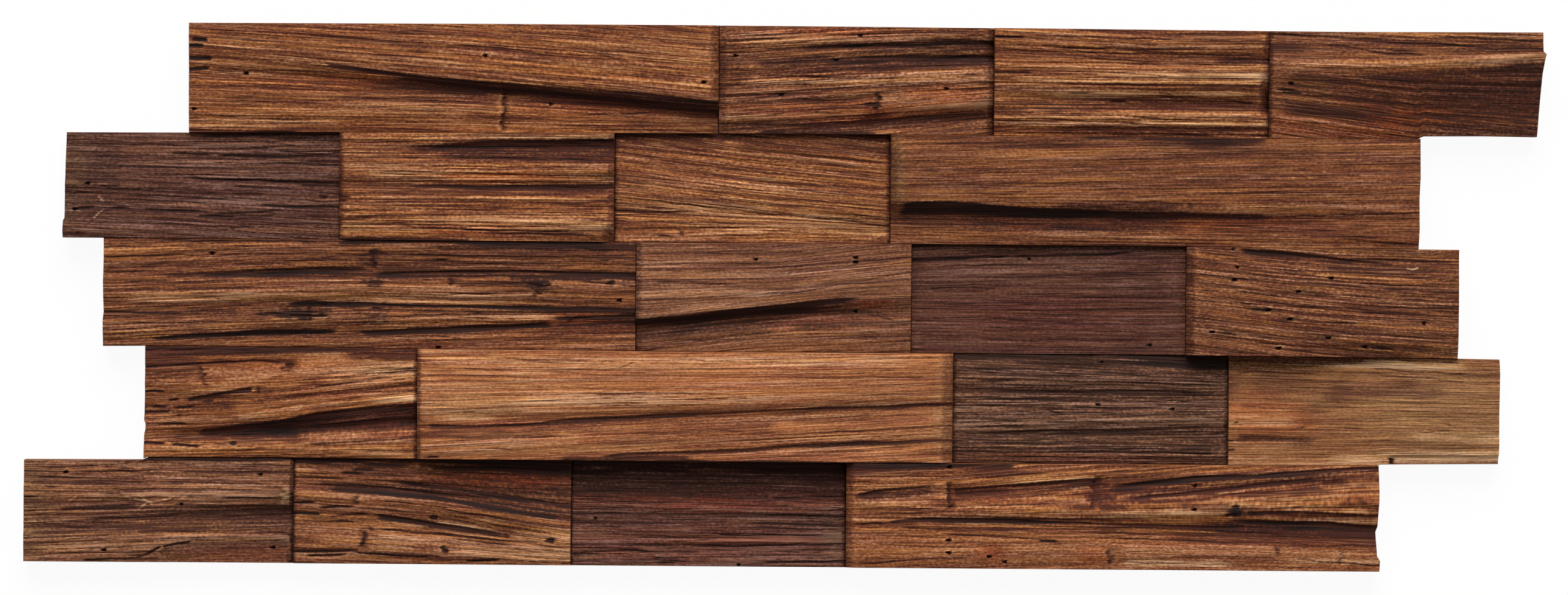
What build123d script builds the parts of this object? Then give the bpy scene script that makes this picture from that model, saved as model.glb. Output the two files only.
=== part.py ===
from build123d import *
from collections import namedtuple
import os

# An interlocking wall cladding panel of riven wood blocks, lying on its flat back.
# X runs along the rows, Y up the wall and Z out of the wall.
# The origin is the middle of the back.

# Driving dimensions, in millimetres
SHORT_BLOCK = 101.0    # length of a short block, along the grain
LONG_BLOCK = 197.0     # length of a long block
ROW_HEIGHT = 40.0      # height of a row on the wall
END_STAGGER = 15.0     # one step between the staggered row ends
SOLID_DEPTH = 6.0      # wood between the flat back and level 0 of the relief
RELIEF_STEP = 1.0      # one level of the relief
ARRIS = 0.6            # broken edge along the top and the bottom of a block
WORN_END = 3.5         # how far along the grain a worn end is rounded down
WORN_DROP = 2.2        # how far the face falls at a worn end

# A row's height counts as this many shares: a split line's place across the block is given in them.
SHARES = 40
# Flats that round the split face between two lines, and spans along a block from end to end.
FLATS = 3
SPANS = 4
# A worn end has its shoulder at this share of its length, after this share of its drop.
WORN_SHOULDER = 1 / 3

# A block is split along its grain. Each split line, listed from the bottom edge to the top edge, is a crest,
# a shoulder or the bottom of a hollow that runs the length of the block. It has its place across the block
# and its level at the left end, in the middle and at the right end.
SplitLine = namedtuple("SplitLine", "across levels")
Block = namedtuple("Block", "name length worn_ends bottom_edge lines top_edge")

ROW_1 = [
    Block("row_1_long_block", LONG_BLOCK, ("right",), (5, 5.5, 6), [
        SplitLine((12, 9, 4), (7, 7, 6.5)),
        SplitLine((24, 16.5, 7), (7.5, 5, 4.5)),
        SplitLine((28, 19.5, 10), (8.5, 9.5, 11)),
        SplitLine((34, 30, 26), (9.5, 10.5, 12)),
    ], (9, 10, 11)),
    Block("row_1_block_2", SHORT_BLOCK, ("right",), (6, 6, 6), [
        SplitLine((2.5, 4, 9), (6, 4.5, 4.5)),
        SplitLine((8, 9, 13), (8, 8, 10)),
        SplitLine((20, 20, 24), (7.5, 8.5, 10)),
        SplitLine((29, 30, 30), (8, 7.5, 5.5)),
        SplitLine((35, 36, 36.5), (8.5, 8.5, 8)),
    ], (8, 8, 7.5)),
    Block("row_1_block_3", SHORT_BLOCK, ("right",), (6, 6, 6), [
        SplitLine((7, 7.5, 7.5), (8.5, 9, 8.5)),
        SplitLine((13, 13, 13), (8, 6.5, 5.5)),
        SplitLine((17, 17, 17), (9.5, 9.5, 9)),
        SplitLine((24, 24, 25), (11, 11.5, 11.5)),
        SplitLine((30, 28, 29), (10, 10, 9)),
        SplitLine((35, 35, 35), (10.5, 11, 10.5)),
    ], (10, 10, 10)),
    Block("row_1_block_4", SHORT_BLOCK, (), (6, 4, 3), [
        SplitLine((10, 10, 12), (8, 6.5, 5)),
        SplitLine((20, 20, 22), (9.5, 9.5, 8)),
        SplitLine((27, 28, 31.5), (11.5, 12, 12)),
        SplitLine((33, 33.5, 36), (10, 10.5, 10.5)),
    ], (9.5, 10, 10)),
]

ROW_2 = [
    Block("row_2_block_1", SHORT_BLOCK, (), (7.5, 6.5, 5), [
        SplitLine((6, 5, 4), (8, 7, 5.5)),
        SplitLine((13, 10.5, 8), (6, 5.5, 4.5)),
        SplitLine((19, 17, 16), (5.5, 5.5, 5)),
        SplitLine((24, 22, 22), (4.5, 4, 3.5)),
        SplitLine((31, 31, 30), (4, 4, 3.5)),
    ], (3, 3, 3)),
    Block("row_2_block_2", SHORT_BLOCK, ("left",), (8, 8, 7), [
        SplitLine((8, 8, 8), (10, 10.5, 10.5)),
        SplitLine((12.5, 12.5, 12.5), (9.5, 9.5, 9)),
        SplitLine((16, 16, 16), (10, 10.5, 10)),
        SplitLine((20, 20, 20), (9.5, 8, 7.5)),
        SplitLine((27, 27, 27), (11, 11, 11)),
        SplitLine((34, 35, 35), (10, 8.5, 7)),
        SplitLine((37.5, 38, 38.5), (10.5, 10.5, 9.5)),
    ], (10, 10, 9)),
    Block("row_2_block_3", SHORT_BLOCK, (), (3.5, 3.5, 3.5), [
        SplitLine((11, 10.5, 7), (3.5, 3.5, 3)),
        SplitLine((17, 15, 12), (5, 4.5, 4)),
        SplitLine((30, 26, 22), (4.5, 4, 4)),
        SplitLine((37, 32, 28), (4, 4, 3.5)),
    ], (3, 3, 3)),
    Block("row_2_long_block", LONG_BLOCK, ("left",), (5, 5, 6), [
        SplitLine((6, 6, 6), (5.5, 6, 7)),
        SplitLine((11, 10.5, 11), (4, 5, 7)),
        SplitLine((15, 13, 13), (10.5, 9, 8)),
        SplitLine((26, 27, 28), (12, 11, 9.5)),
    ], (11.5, 11, 9)),
]

ROW_3 = [
    Block("row_3_long_block", LONG_BLOCK, (), (5, 5.5, 6), [
        SplitLine((2.5, 6.5, 9), (5.5, 5, 5.5)),
        SplitLine((8, 11, 12), (7.5, 7.5, 7.5)),
        SplitLine((13, 16.5, 15), (6.5, 6, 6.5)),
        SplitLine((20, 22.5, 22), (8, 8.5, 8)),
        SplitLine((26, 29, 28.5), (7, 7, 6.5)),
        SplitLine((33, 34, 34), (8, 8, 7.5)),
    ], (7, 7.5, 7)),
    Block("row_3_block_2", SHORT_BLOCK, (), (6, 6, 6), [
        SplitLine((4, 8, 9), (6.5, 7, 7.5)),
        SplitLine((8.5, 13.5, 15.5), (5, 4, 6.5)),
        SplitLine((11, 17, 19), (9.5, 10.5, 9.5)),
        SplitLine((20, 25, 28), (10, 10, 9.5)),
    ], (9, 9, 8.5)),
    Block("row_3_block_3", SHORT_BLOCK, (), (3.5, 3.5, 3.5), [
        SplitLine((12, 12, 12), (3.5, 3, 3)),
        SplitLine((24, 25, 26), (3, 3, 3)),
        SplitLine((34, 36, 37), (2, 2, 2.5)),
    ], (3, 3, 2.5)),
    Block("row_3_block_4", SHORT_BLOCK, ("left",), (10, 10, 9), [
        SplitLine((12, 11, 9), (11.5, 11.5, 10)),
        SplitLine((24, 22, 20), (12, 12, 11)),
        SplitLine((33, 31, 29), (12, 11.5, 10.5)),
        SplitLine((38, 35.5, 34), (11.5, 9.5, 9.5)),
    ], (11, 10.5, 10)),
]

ROW_4 = [
    Block("row_4_block_1", SHORT_BLOCK, (), (6, 6, 6), [
        SplitLine((4, 6, 8), (6.5, 7, 7.5)),
        SplitLine((8, 10.5, 14.5), (5.5, 3, 3)),
        SplitLine((12, 14, 20), (7, 7, 8.5)),
        SplitLine((17, 21, 26), (6.5, 7, 8)),
        SplitLine((26, 29, 32), (8, 8, 8.5)),
        SplitLine((33, 34.5, 36), (6.5, 6.5, 8)),
    ], (6, 6, 6.5)),
    Block("row_4_long_block", LONG_BLOCK, ("left", "right"), (10, 9.5, 9.5), [
        SplitLine((2, 3.5, 9), (10.5, 9.5, 9.5)),
        SplitLine((8, 10, 15), (11.5, 11.5, 11)),
        SplitLine((12, 17, 21), (10.5, 10, 10)),
        SplitLine((19, 22, 26), (12.5, 13, 12)),
        SplitLine((30, 31, 33), (12.5, 13, 12.5)),
    ], (12, 12.5, 12)),
    Block("row_4_block_3", SHORT_BLOCK, (), (3, 3, 3), [
        SplitLine((6, 6, 6), (3.5, 3.5, 3.5)),
        SplitLine((11.5, 13, 14), (3, 2, 2)),
        SplitLine((16.5, 16.5, 17), (4, 4.5, 4.5)),
        SplitLine((26, 26.5, 27), (3.5, 2.5, 2.5)),
        SplitLine((33, 32, 31), (4, 4, 3.5)),
    ], (3.5, 3, 2.5)),
    Block("row_4_block_4", SHORT_BLOCK, (), (5, 5, 4.5), [
        SplitLine((10, 10, 10), (4.5, 5, 5)),
        SplitLine((17, 17, 17), (6, 5, 5)),
        SplitLine((25, 25, 26), (5, 5, 5.5)),
        SplitLine((33.5, 33, 32.5), (3.5, 4.5, 5)),
    ], (3, 4, 4.5)),
]

ROW_5 = [
    Block("row_5_block_1", SHORT_BLOCK, (), (6, 4.5, 3.5), [
        SplitLine((3, 5, 9), (6.5, 5.5, 5)),
        SplitLine((9, 9.5, 11.5), (7, 7.5, 7)),
        SplitLine((16, 17.5, 19), (6.5, 5.5, 4)),
        SplitLine((22, 22.5, 24.5), (7, 7, 6.5)),
        SplitLine((28, 28, 28), (7, 7.5, 8)),
        SplitLine((34, 35, 35), (6, 6, 6)),
    ], (6, 6, 5.5)),
    Block("row_5_block_2", SHORT_BLOCK, (), (5, 5, 5), [
        SplitLine((8, 7, 5), (6.5, 6.5, 6)),
        SplitLine((19.5, 16, 10), (6, 5.5, 5.5)),
        SplitLine((22, 19, 14), (7, 7, 6.5)),
        SplitLine((28, 24.5, 19), (7.5, 7, 6)),
        SplitLine((31, 28, 22), (4.5, 3, 2.5)),
        SplitLine((36, 34, 33), (5, 4, 3)),
    ], (5, 3, 2)),
    Block("row_5_block_3", SHORT_BLOCK, (), (4, 4, 4), [
        SplitLine((8, 8, 8), (3, 3, 2.5)),
        SplitLine((14, 14, 14), (3.5, 3.5, 3)),
        SplitLine((20, 20, 19), (2.5, 2.5, 2)),
        SplitLine((24, 24, 24), (3, 3, 3)),
        SplitLine((29, 28.5, 27), (1.5, 1, 1.5)),
    ], (1.5, 1.5, 1.5)),
    Block("row_5_long_block", LONG_BLOCK, ("left",), (7.5, 7.5, 7.5), [
        SplitLine((6, 6, 6), (9, 9, 9)),
        SplitLine((11, 11, 9.5), (9, 8.5, 7)),
        SplitLine((16.5, 15.5, 14), (8.5, 7.5, 3.5)),
        SplitLine((20, 19.5, 20), (9, 8.5, 5.5)),
        SplitLine((24, 24, 28), (9.5, 10, 9.5)),
        SplitLine((28, 31, 33), (8.5, 8, 8.5)),
        SplitLine((34, 36, 37.5), (9.5, 9, 8.5)),
    ], (9, 8, 7.5)),
]

# The rows from the top of the panel down, each with the number of stagger steps at its left end.
ROWS = [(ROW_1, 4), (ROW_2, 1), (ROW_3, 2), (ROW_4, 3), (ROW_5, 0)]
MOST_STEPS = max(steps for row, steps in ROWS)
ROW_LENGTH = sum(block.length for block in ROW_1)
PANEL_LENGTH = ROW_LENGTH + MOST_STEPS * END_STAGGER
PANEL_HEIGHT = len(ROWS) * ROW_HEIGHT


def along(values, share):
    """The value at a share of the block's length: a bow through its left end, its middle and its right end."""
    left, middle, right = values
    bow = left + right - 2 * middle
    return left + (4 * middle - 3 * left - right) * share + 2 * bow * share * share


def split_profile(knots):
    """The split face across the grain: flats that round each crest and hollow, and pass through every knot."""
    rises = [(z1 - z0) / (y1 - y0) for (y0, z0), (y1, z1) in zip(knots, knots[1:])]
    slopes = [rises[0]]
    for before, after in zip(rises, rises[1:]):
        slopes.append(2 * before * after / (before + after) if before * after > 0 else 0)
    slopes.append(rises[-1])
    profile = []
    for (y0, z0), (y1, z1), start, end in zip(knots, knots[1:], slopes, slopes[1:]):
        for flat in range(FLATS):
            t = flat / FLATS
            height = z0 * (1 + 2 * t) * (1 - t) ** 2 + z1 * (3 - 2 * t) * t ** 2
            lean = (y1 - y0) * (start * t * (1 - t) ** 2 - end * (1 - t) * t ** 2)
            profile.append((y0 + (y1 - y0) * t, height + lean))
    return profile + [knots[-1]]


def section(block, place, drop):
    """The block's cross-section at a place along the grain, with its face let down by a drop."""
    share = place / block.length
    bottom, top = [
        SOLID_DEPTH + along(levels, share) * RELIEF_STEP - drop for levels in (block.bottom_edge, block.top_edge)
    ]
    knots = [(ARRIS, bottom)]
    for line in block.lines:
        across = along(line.across, share) * ROW_HEIGHT / SHARES
        knots.append((across, SOLID_DEPTH + along(line.levels, share) * RELIEF_STEP - drop))
    knots.append((ROW_HEIGHT - ARRIS, top))
    outline = [(0, 0), (0, bottom - ARRIS)]
    outline += split_profile(knots)
    outline += [(ROW_HEIGHT, top - ARRIS), (ROW_HEIGHT, 0)]
    plane = Plane(origin=(place, 0, 0), x_dir=(0, 1, 0), z_dir=(1, 0, 0))
    return plane * make_face(Polyline(*outline, close=True))


def riven_block(block):
    """One split block: a loft along the grain, from its left end, with its worn ends rounded down."""
    places = [(block.length * span / SPANS, 0) for span in range(SPANS + 1)]
    worn = [(0, WORN_DROP), (WORN_END * WORN_SHOULDER, WORN_DROP * WORN_SHOULDER), (WORN_END, 0)]
    if "left" in block.worn_ends:
        places[:1] = worn
    if "right" in block.worn_ends:
        places[-1:] = [(block.length - place, drop) for place, drop in reversed(worn)]
    return loft([section(block, place, drop) for place, drop in places], ruled=True)


os.makedirs("parts", exist_ok=True)
for number, (row, steps) in enumerate(ROWS, start=1):
    left = steps * END_STAGGER - PANEL_LENGTH / 2
    bottom = PANEL_HEIGHT / 2 - number * ROW_HEIGHT
    for block in row:
        export_step(Pos(left, bottom, 0) * riven_block(block), f"parts/{block.name}.step")
        left += block.length
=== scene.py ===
import math

import bpy
import numpy as np
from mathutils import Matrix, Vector
from mathutils.bvhtree import BVHTree


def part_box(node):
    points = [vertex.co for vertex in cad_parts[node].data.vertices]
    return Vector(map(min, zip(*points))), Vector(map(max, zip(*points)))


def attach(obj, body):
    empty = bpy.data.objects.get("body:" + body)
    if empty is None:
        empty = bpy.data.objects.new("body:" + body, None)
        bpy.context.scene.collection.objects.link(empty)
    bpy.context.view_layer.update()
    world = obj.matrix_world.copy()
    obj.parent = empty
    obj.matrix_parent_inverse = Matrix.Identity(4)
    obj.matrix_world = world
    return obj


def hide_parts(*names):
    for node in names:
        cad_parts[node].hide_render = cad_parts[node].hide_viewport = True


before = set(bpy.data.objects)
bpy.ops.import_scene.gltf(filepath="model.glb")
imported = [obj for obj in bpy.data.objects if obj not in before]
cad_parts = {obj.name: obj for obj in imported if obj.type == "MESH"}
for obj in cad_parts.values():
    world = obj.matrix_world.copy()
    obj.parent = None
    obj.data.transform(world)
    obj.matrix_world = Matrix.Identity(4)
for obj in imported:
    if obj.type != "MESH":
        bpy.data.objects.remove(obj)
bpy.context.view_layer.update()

# Sizes in millimetres, turned into metres where a mesh is written
MM = 0.001
CELL_ALONG = 0.8       # mesh cell along the grain
CELL_ACROSS = 0.28     # mesh cell across the grain
JOINT_INSET = 0.22     # how far a face stands back from its block's sawn sides
SHOULDER_DROP = 1.6    # how far below the face the sawn sides begin
END_REACH = 9          # how far from a block's end the line of that end is felt
SMOOTH_ANGLE_DEG = 60  # faces that meet at less than this look smooth
BLANK_RING = 0.1       # height of each ring of side on the unit blank
GRAIN_MARGIN = 20.0    # how far past a block's edges its grain lines are carried on
PATH_STOPS = 9         # places along a path where its sizes are worked out
BLOCKS_IN_ROW = 4

# Seeds of the random draws
BLOCK_SEED_STEP = 100
WANDER_SEED = 1000
TEAR_SEED = 2000
PATTERN_SHIFT = 0.37   # how far a finish's pattern moves for each step of the seed

# Smoothing passes across the grain and along it
FORM_PASSES = (26, 4)      # take the flats off the solid's face
NEAR_PASSES = (24, 3)      # level the fibres round a point
WIDE_PASSES = (260, 20)    # level the ridges and hollows round a point
PATH_PASSES = 20           # take the corners off a path, along it only

# The rows' sawn lines, from the top edge down: places along the panel, and how far the line strays upward
ROW_LINES = (
    ((-220, -0.3), (-110, 0.1), (0, 0.2), (100, -0.05), (205, -0.45), (280, -0.1)),
    ((-265, -1.0), (-220, -0.8), (-164, -0.4), (-23, 0.2), (38, 0.3), (179, -0.1), (235, 0.3), (237, 1.4),
     (260, 1.6), (280, 1.4)),
    ((-250, 0.0), (-63, -0.3), (38, -0.1), (149, -0.4), (250, -0.7)),
    ((-250, -0.1), (-235, 0.1), (-134, -0.2), (-53, -0.5), (149, -0.5), (250, -1.0), (265, -1.2)),
    ((-280, -2.3), (-236, -2.1), (-234, -1.0), (-134, -1.0), (23, -1.15), (164, -0.95), (220, -0.7),
     (222, -0.4), (265, 0.1)),
    ((-280, 0.0), (220, 0.0)))
# How far the ends of each row's blocks stray to the right, from the row's left end to its right end
END_LINES = ((0, -1.05, -0.25, 0.45, 0), (0, 0, 0.55, 1.75, 0), (0, -1.05, -0.25, 0.45, 0),
             (0, -0.55, 0.35, 1.35, 0), (0, -1.15, 0.5, 1.25, 0))
# Two rows whose split faces sit lower than their sawn lines: places along the panel and how much lower
# there, then heights on the block and the share of it there
LOW_FACES = {
    3: (((-235, 0.5), (23, 0.8), (164, 0.7), (222, 0.2)), ((0, 0), (4, 1), (40, 0))),
    4: (((-236, 0), (-234, 0.9), (164, 0.8), (220, 0.4)), ((0, 0), (36, 0.9), (40, 0)))}

# The photograph's frame in pixels, and the panel's place in it
PHOTO_WIDE = 2576
PHOTO_HIGH = 978
PIXELS_PER_MM = 4.442
PANEL_CENTRE_PIXEL = (1285.0, 488.0)
PANEL_ROLL_DEG = 0.44

# The studio, in metres
CAMERA_DISTANCE = 3.0
SENSOR_WIDE = 36.0         # millimetres
FACE_LEVEL = 0.0115        # the height that the camera is measured from
FLOOR_WIDE = 8
FLOOR_DROP = 0.0002        # keeps the floor clear of the panel's back
FLOOR_WHITE = 0.9
FLOOR_GLOW = 0.94          # share of plain white in the floor that the camera sees; the rest shows the shadow
KEY_STRENGTH = 3.8
KEY_SPREAD_DEG = 50
KEY_LEAN_DEG = -50         # the light comes from above the top row
ROOM_STRENGTH = 0.32


# Fields on the grid of a face

def soften(field, passes, axis):
    """The field smoothed along one axis, a little more with every pass."""
    pad = [(1, 1) if k == axis else (0, 0) for k in range(2)]
    for _ in range(passes):
        wide = np.pad(field, pad, mode="edge")
        before, middle, after = (np.take(wide, range(k, k + field.shape[axis]), axis) for k in range(3))
        field = (before + 2 * middle + after) / 4
    return field


def level_out(field, passes):
    """The field smoothed across the grain, then along it."""
    return soften(soften(field, passes[0], 0), passes[1], 1)


def grain_noise(seed, run, fibre, long, wide):
    """Smooth noise from -1 to 1 with a swell about every `long` millimetres by `wide` across the grain."""
    rng = np.random.default_rng(seed)
    x = run / long + rng.uniform(1, 2)
    y = (fibre - fibre.min()) / wide + rng.uniform(0, 1)
    lattice = rng.uniform(-1, 1, (int(y.max()) + 2, int(x.max()) + 2))
    column, row = x.astype(int), y.astype(int)
    a, b = x - column, y - row
    a, b = a * a * (3 - 2 * a), b * b * (3 - 2 * b)
    low = lattice[row, column] * (1 - a) + lattice[row, column + 1] * a
    high = lattice[row + 1, column] * (1 - a) + lattice[row + 1, column + 1] * a
    return low * (1 - b) + high * b


def ease(share):
    """A share held between 0 and 1, with a soft start and a soft end."""
    share = np.clip(share, 0, 1)
    return share * share * (3 - 2 * share)


def bump_profile(distance):
    """1 at no distance, falling smoothly to 0 at a distance of 1."""
    return ease(1 - np.abs(distance))


class SplitFace:
    """The split face of one block, on a grid. Places are in millimetres from its lower left corner."""

    def __init__(self, run, rise, seed, grain):
        self.run, self.rise, self.seed = run, rise, seed
        self.length, self.height = run.max(), rise.max()
        self.fibre = self.fibre_field(grain)
        self.relief = np.zeros_like(run)
        # Dark marks on the face: stains and knots, together with painted shade in cracks, pits, hollows and
        # on rounded ends, and painted shadow along edges that lie under the row above
        self.stain_and_shade = np.zeros_like(run)
        # Light marks on the face: paler wood and loose splinters, together with painted highlights along
        # ridges and torn rims
        self.pale_and_highlight = np.zeros_like(run)
        self.tint = np.zeros_like(run)
        # Streaks of the wood's own tone, together with painted shade and painted light
        self.tone = np.zeros_like(run)
        self.rough = np.ones_like(run)
        self.fray = (0.75 * grain_noise(seed + 21, run, self.fibre, 44, 1.5)
                     + 0.5 * grain_noise(seed + 22, run, self.fibre, 14, 0.8))
        self.blot = (grain_noise(seed + 23, run, rise, 3.2, 1.7)
                     + 0.6 * grain_noise(seed + 24, run, rise, 1.7, 0.9))
        self.left_line = self.right_line = ((0, 0.0),)
        self.draws = 0

    def fibre_field(self, grain):
        """The place across the grain of every point: rise, carried along the grain lines."""
        columns = self.run[0]
        if not grain:
            return self.rise.copy()
        lines = [self.line(path)[0] for path in grain]
        marks = [line[0] for line in lines]
        knots = [-GRAIN_MARGIN, *marks, self.height + GRAIN_MARGIN]
        fibre = np.empty_like(self.rise)
        for k in range(len(columns)):
            places = [line[k] for line in lines]
            first, last = places[0] - marks[0], places[-1] - marks[-1] + self.height
            ends = [first - GRAIN_MARGIN, *places, last + GRAIN_MARGIN]
            fibre[:, k] = np.interp(self.rise[:, k], ends, knots)
        return fibre

    def line(self, path, *sizes):
        """A path and its sizes, at every column of the grid. A size is a number, or values along the path."""
        us, vs = zip(*path)
        columns = self.run[0]
        place = soften(np.interp(columns, us, vs)[None, :], PATH_PASSES, 1)[0]
        stops = np.linspace(us[0], us[-1], PATH_STOPS)
        spread = []
        for size in sizes:
            values = np.atleast_1d(size)
            steps = np.linspace(0, 1, len(values))
            at_stops = np.interp(np.linspace(0, 1, PATH_STOPS), steps, values)
            spread.append(np.interp(columns, stops, at_stops))
        return place, *spread

    def within(self, path, fade):
        """1 between a path's ends and 0 past them. An end at the end of the block doesn't fade."""
        columns = self.run[0]
        start, end = path[0][0], path[-1][0]
        fade_in = np.clip((columns - start) / fade, 0, 1) if start > 0 else np.ones_like(columns)
        fade_out = np.clip((end - columns) / fade, 0, 1) if end < self.length else np.ones_like(columns)
        return ease(fade_in) * ease(fade_out)

    def wander(self, long, amount):
        """A line that wanders by an amount along the grain."""
        self.draws += 1
        columns = self.run[:1]
        level = np.zeros_like(columns)
        return amount * grain_noise(self.seed + WANDER_SEED + self.draws, columns, level, long, 1.0)[0]

    def from_path(self, path, above, below, sway=0.25):
        """The distance from a path, 1 at its width above it and at its width below it. Plain, then frayed."""
        place, above, below = self.line(path, above, below)
        distance = self.rise - (place + self.wander(12, sway))
        width = np.where(distance > 0, above, below)
        return distance / width, (distance + 0.7 * self.fray * np.minimum(width, 2.2)) / width

    def streaked(self, frayed, inside):
        """How much of a band covers each point, with fibres of it reaching past its edge and its ends."""
        reach = np.abs(frayed)
        ends = ease(inside * (1 + 2.0 * self.fray * (1 - inside)))
        gaps = 0.75 * np.clip(-1.5 * self.fray, 0, 1) * np.clip(reach * 1.7, 0.45, 1)
        return ease(1.5 - 1.35 * reach) * ends * (1 - gaps)

    def hollow(self, path, deep, above, below, stain_and_shade=0.8, fade=10):
        """A groove along a path, with its own width above and below its deepest line. Its dark band is
        painted shade in the groove, darkest under its upper edge.
        """
        plain, frayed = self.from_path(path, above, below)
        inside = self.within(path, fade)
        deep = self.line(path, deep)[1]
        self.relief -= 0.7 * deep * bump_profile(plain + 0.3 * self.fray) * inside
        uneven = np.where(plain > 0, 0.65, 0.92) * frayed
        self.stain_and_shade = np.maximum(self.stain_and_shade, stain_and_shade * self.streaked(uneven, inside))

    def crest(self, path, high, above, below, pale_and_highlight=0.3, fade=10):
        """A ridge along a path, painted paler along it: painted highlight."""
        plain, frayed = self.from_path(path, above, below)
        inside = self.within(path, fade)
        high = self.line(path, high)[1]
        self.relief += high * bump_profile(plain) * inside
        self.pale_and_highlight = np.maximum(self.pale_and_highlight, pale_and_highlight * self.streaked(frayed, inside))

    def crack(self, path, width=0.6, deep=0.6, stain_and_shade=0.9, fade=5):
        """A thin crack along a path, painted dark: painted shade in the crack."""
        place, width = self.line(path, width)
        distance = (self.rise - (place + self.wander(6, 0.3))) / (0.15 + 0.55 * width)
        broken = 0.75 + 0.35 * self.wander(9, 1.0) if path[-1][0] - path[0][0] > 14 else 1.0
        shape = bump_profile(distance) * self.within(path, fade) * broken
        self.relief -= 0.7 * deep * shape
        self.stain_and_shade = np.maximum(self.stain_and_shade, 1.25 * stain_and_shade * shape)

    def cracks(self, width, deep, stain_and_shade, fade, *paths):
        """Several cracks of one kind."""
        for path in paths:
            self.crack(path, width, deep, stain_and_shade, fade)

    def shade(self, path, above, below, stain_and_shade=0.5, fade=12):
        """A dark band along a path, with no depth: painted shade and painted shadow in most places, darker
        wood in a few.
        """
        shape = self.streaked(0.8 * self.from_path(path, above, below)[1], self.within(path, fade))
        self.stain_and_shade = np.maximum(self.stain_and_shade, stain_and_shade * shape)

    def pale_band(self, path, above, below, pale_and_highlight=0.5, fade=12):
        """A light band along a path, with no height: paler wood in some places, painted light on ridges in
        others.
        """
        shape = self.streaked(0.8 * self.from_path(path, above, below)[1], self.within(path, fade))
        self.pale_and_highlight = np.maximum(self.pale_and_highlight, pale_and_highlight * shape)

    def tone_and_lighting_streaks(self, *streaks):
        """Streaks of lighter or darker colour: the wood's own tone in some, painted shade and painted light
        in others, such as painted shadow along a block's top. Each runs from one place to another, with half
        its width, and how strong.
        """
        for u0, v0, u1, v1, half, strength in streaks:
            ends = [(u0, v0), (u1, v1)]
            frayed = self.from_path(ends, half, half)[1]
            self.tone += strength * ease(1.5 - 1.2 * np.abs(frayed)) * self.within(ends, 9)

    def oval(self, u, v, half_long, half_wide, ragged=0.3):
        """How deep each point lies in an oval with a ragged edge, from 0 at its edge to 1 in its middle."""
        reach = ((self.run - u) / half_long) ** 2 + ((self.rise - v) / half_wide) ** 2
        return np.clip(1 - reach + ragged * self.blot * (reach < 3), 0, 1)

    def pits(self, radius, deep, *places):
        """Worm holes, painted black inside: painted shade."""
        for u, v in places:
            shape = np.clip(self.oval(u, v, radius * 1.5, radius * 1.15, 0.1) * 2.5, 0, 1)
            self.relief -= deep * shape
            self.stain_and_shade = np.maximum(self.stain_and_shade, 1.4 * shape)

    def dark_spot(self, u, v, half_long, half_wide, stain_and_shade=0.6):
        """A dark, soft-edged spot: darker wood in some places, painted shade beside breaks and tears in
        others.
        """
        self.stain_and_shade = np.maximum(self.stain_and_shade, stain_and_shade * np.sqrt(self.oval(u, v, half_long, half_wide, 0.5)))

    def pale_spot(self, u, v, half_long, half_wide, pale_and_highlight=0.6):
        """A light, soft-edged spot."""
        self.pale_and_highlight = np.maximum(self.pale_and_highlight, pale_and_highlight * np.sqrt(self.oval(u, v, half_long, half_wide, 0.4)))

    def redden(self, u, v, half_long, half_wide, share=0.6):
        """A patch of redder wood. A share below nought makes it olive."""
        shape = ease(self.oval(u, v, half_long, half_wide, 0.2))
        self.tint += share * shape

    def knot(self, u, v, half_long, half_wide, deep=0.8, stain_and_shade=0.8):
        """A small dark knot, sunken, with the fibres parting round it."""
        near = np.exp(-((self.run - u) / (half_long * 2.2)) ** 2 - ((self.rise - v) / (half_wide * 2.2)) ** 2)
        self.fibre -= near * (self.rise - v) * 0.35
        eye = self.oval(u, v, half_long, half_wide, 0.7)
        self.relief += 0.2 * near - deep * eye
        self.stain_and_shade = np.maximum(self.stain_and_shade, stain_and_shade * np.sqrt(eye))

    def tear(self, u, low, high, drop, reach, stain_and_shade=0.6, slant=0.0):
        """A break across the grain at u: past it the wood is torn out, and rises back over the reach. Its
        foot is painted dark and the rim before it painted light: painted shade and painted highlight.
        """
        self.draws += 1
        across = grain_noise(self.seed + TEAR_SEED + self.draws, self.rise, self.run * 0, 2.2, 1.0)
        ragged = 0.9 * across + 0.8 * self.fray
        edge = u + slant * (self.rise - low) + ragged
        past = (self.run - edge) * np.sign(reach)
        fall = np.where(past > 0, np.clip(1 - past / abs(reach), 0, 1) ** 1.5, 0)
        band = np.clip((self.rise - low) / 1.2, 0, 1) * np.clip((high - self.rise) / 1.2, 0, 1)
        self.relief -= drop * fall * band
        foot = np.exp(-((past - 0.6) / 1.0) ** 2) * band
        self.stain_and_shade = np.maximum(self.stain_and_shade, 0.85 * stain_and_shade * foot)
        self.pale_and_highlight = np.maximum(self.pale_and_highlight, 0.35 * stain_and_shade * np.exp(-((past + 1.4) / 1.2) ** 2) * band)

    def plate(self, low, high, lift, left=0.8, right=0.8, smooth=0.5, pale_and_highlight=0.15):
        """A layer of wood left standing between two paths, which breaks off over a length at each end."""
        floor, roof = self.line(low)[0], self.line(high)[0]
        start, end = low[0][0], low[-1][0]
        run, rise = self.run + 1.6 * self.fray, self.rise + 0.35 * self.fray
        shape = ease((rise - floor) / 0.9 + 0.5) * ease((roof - rise) / 0.9 + 0.5)
        if start > 0:
            shape = shape * ease((run - start) / left)
        if end < self.length:
            shape = shape * ease((end - run) / right)
        self.relief += lift * shape
        self.rough *= 1 - smooth * shape
        self.pale_and_highlight = np.maximum(self.pale_and_highlight, pale_and_highlight * shape)

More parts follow.
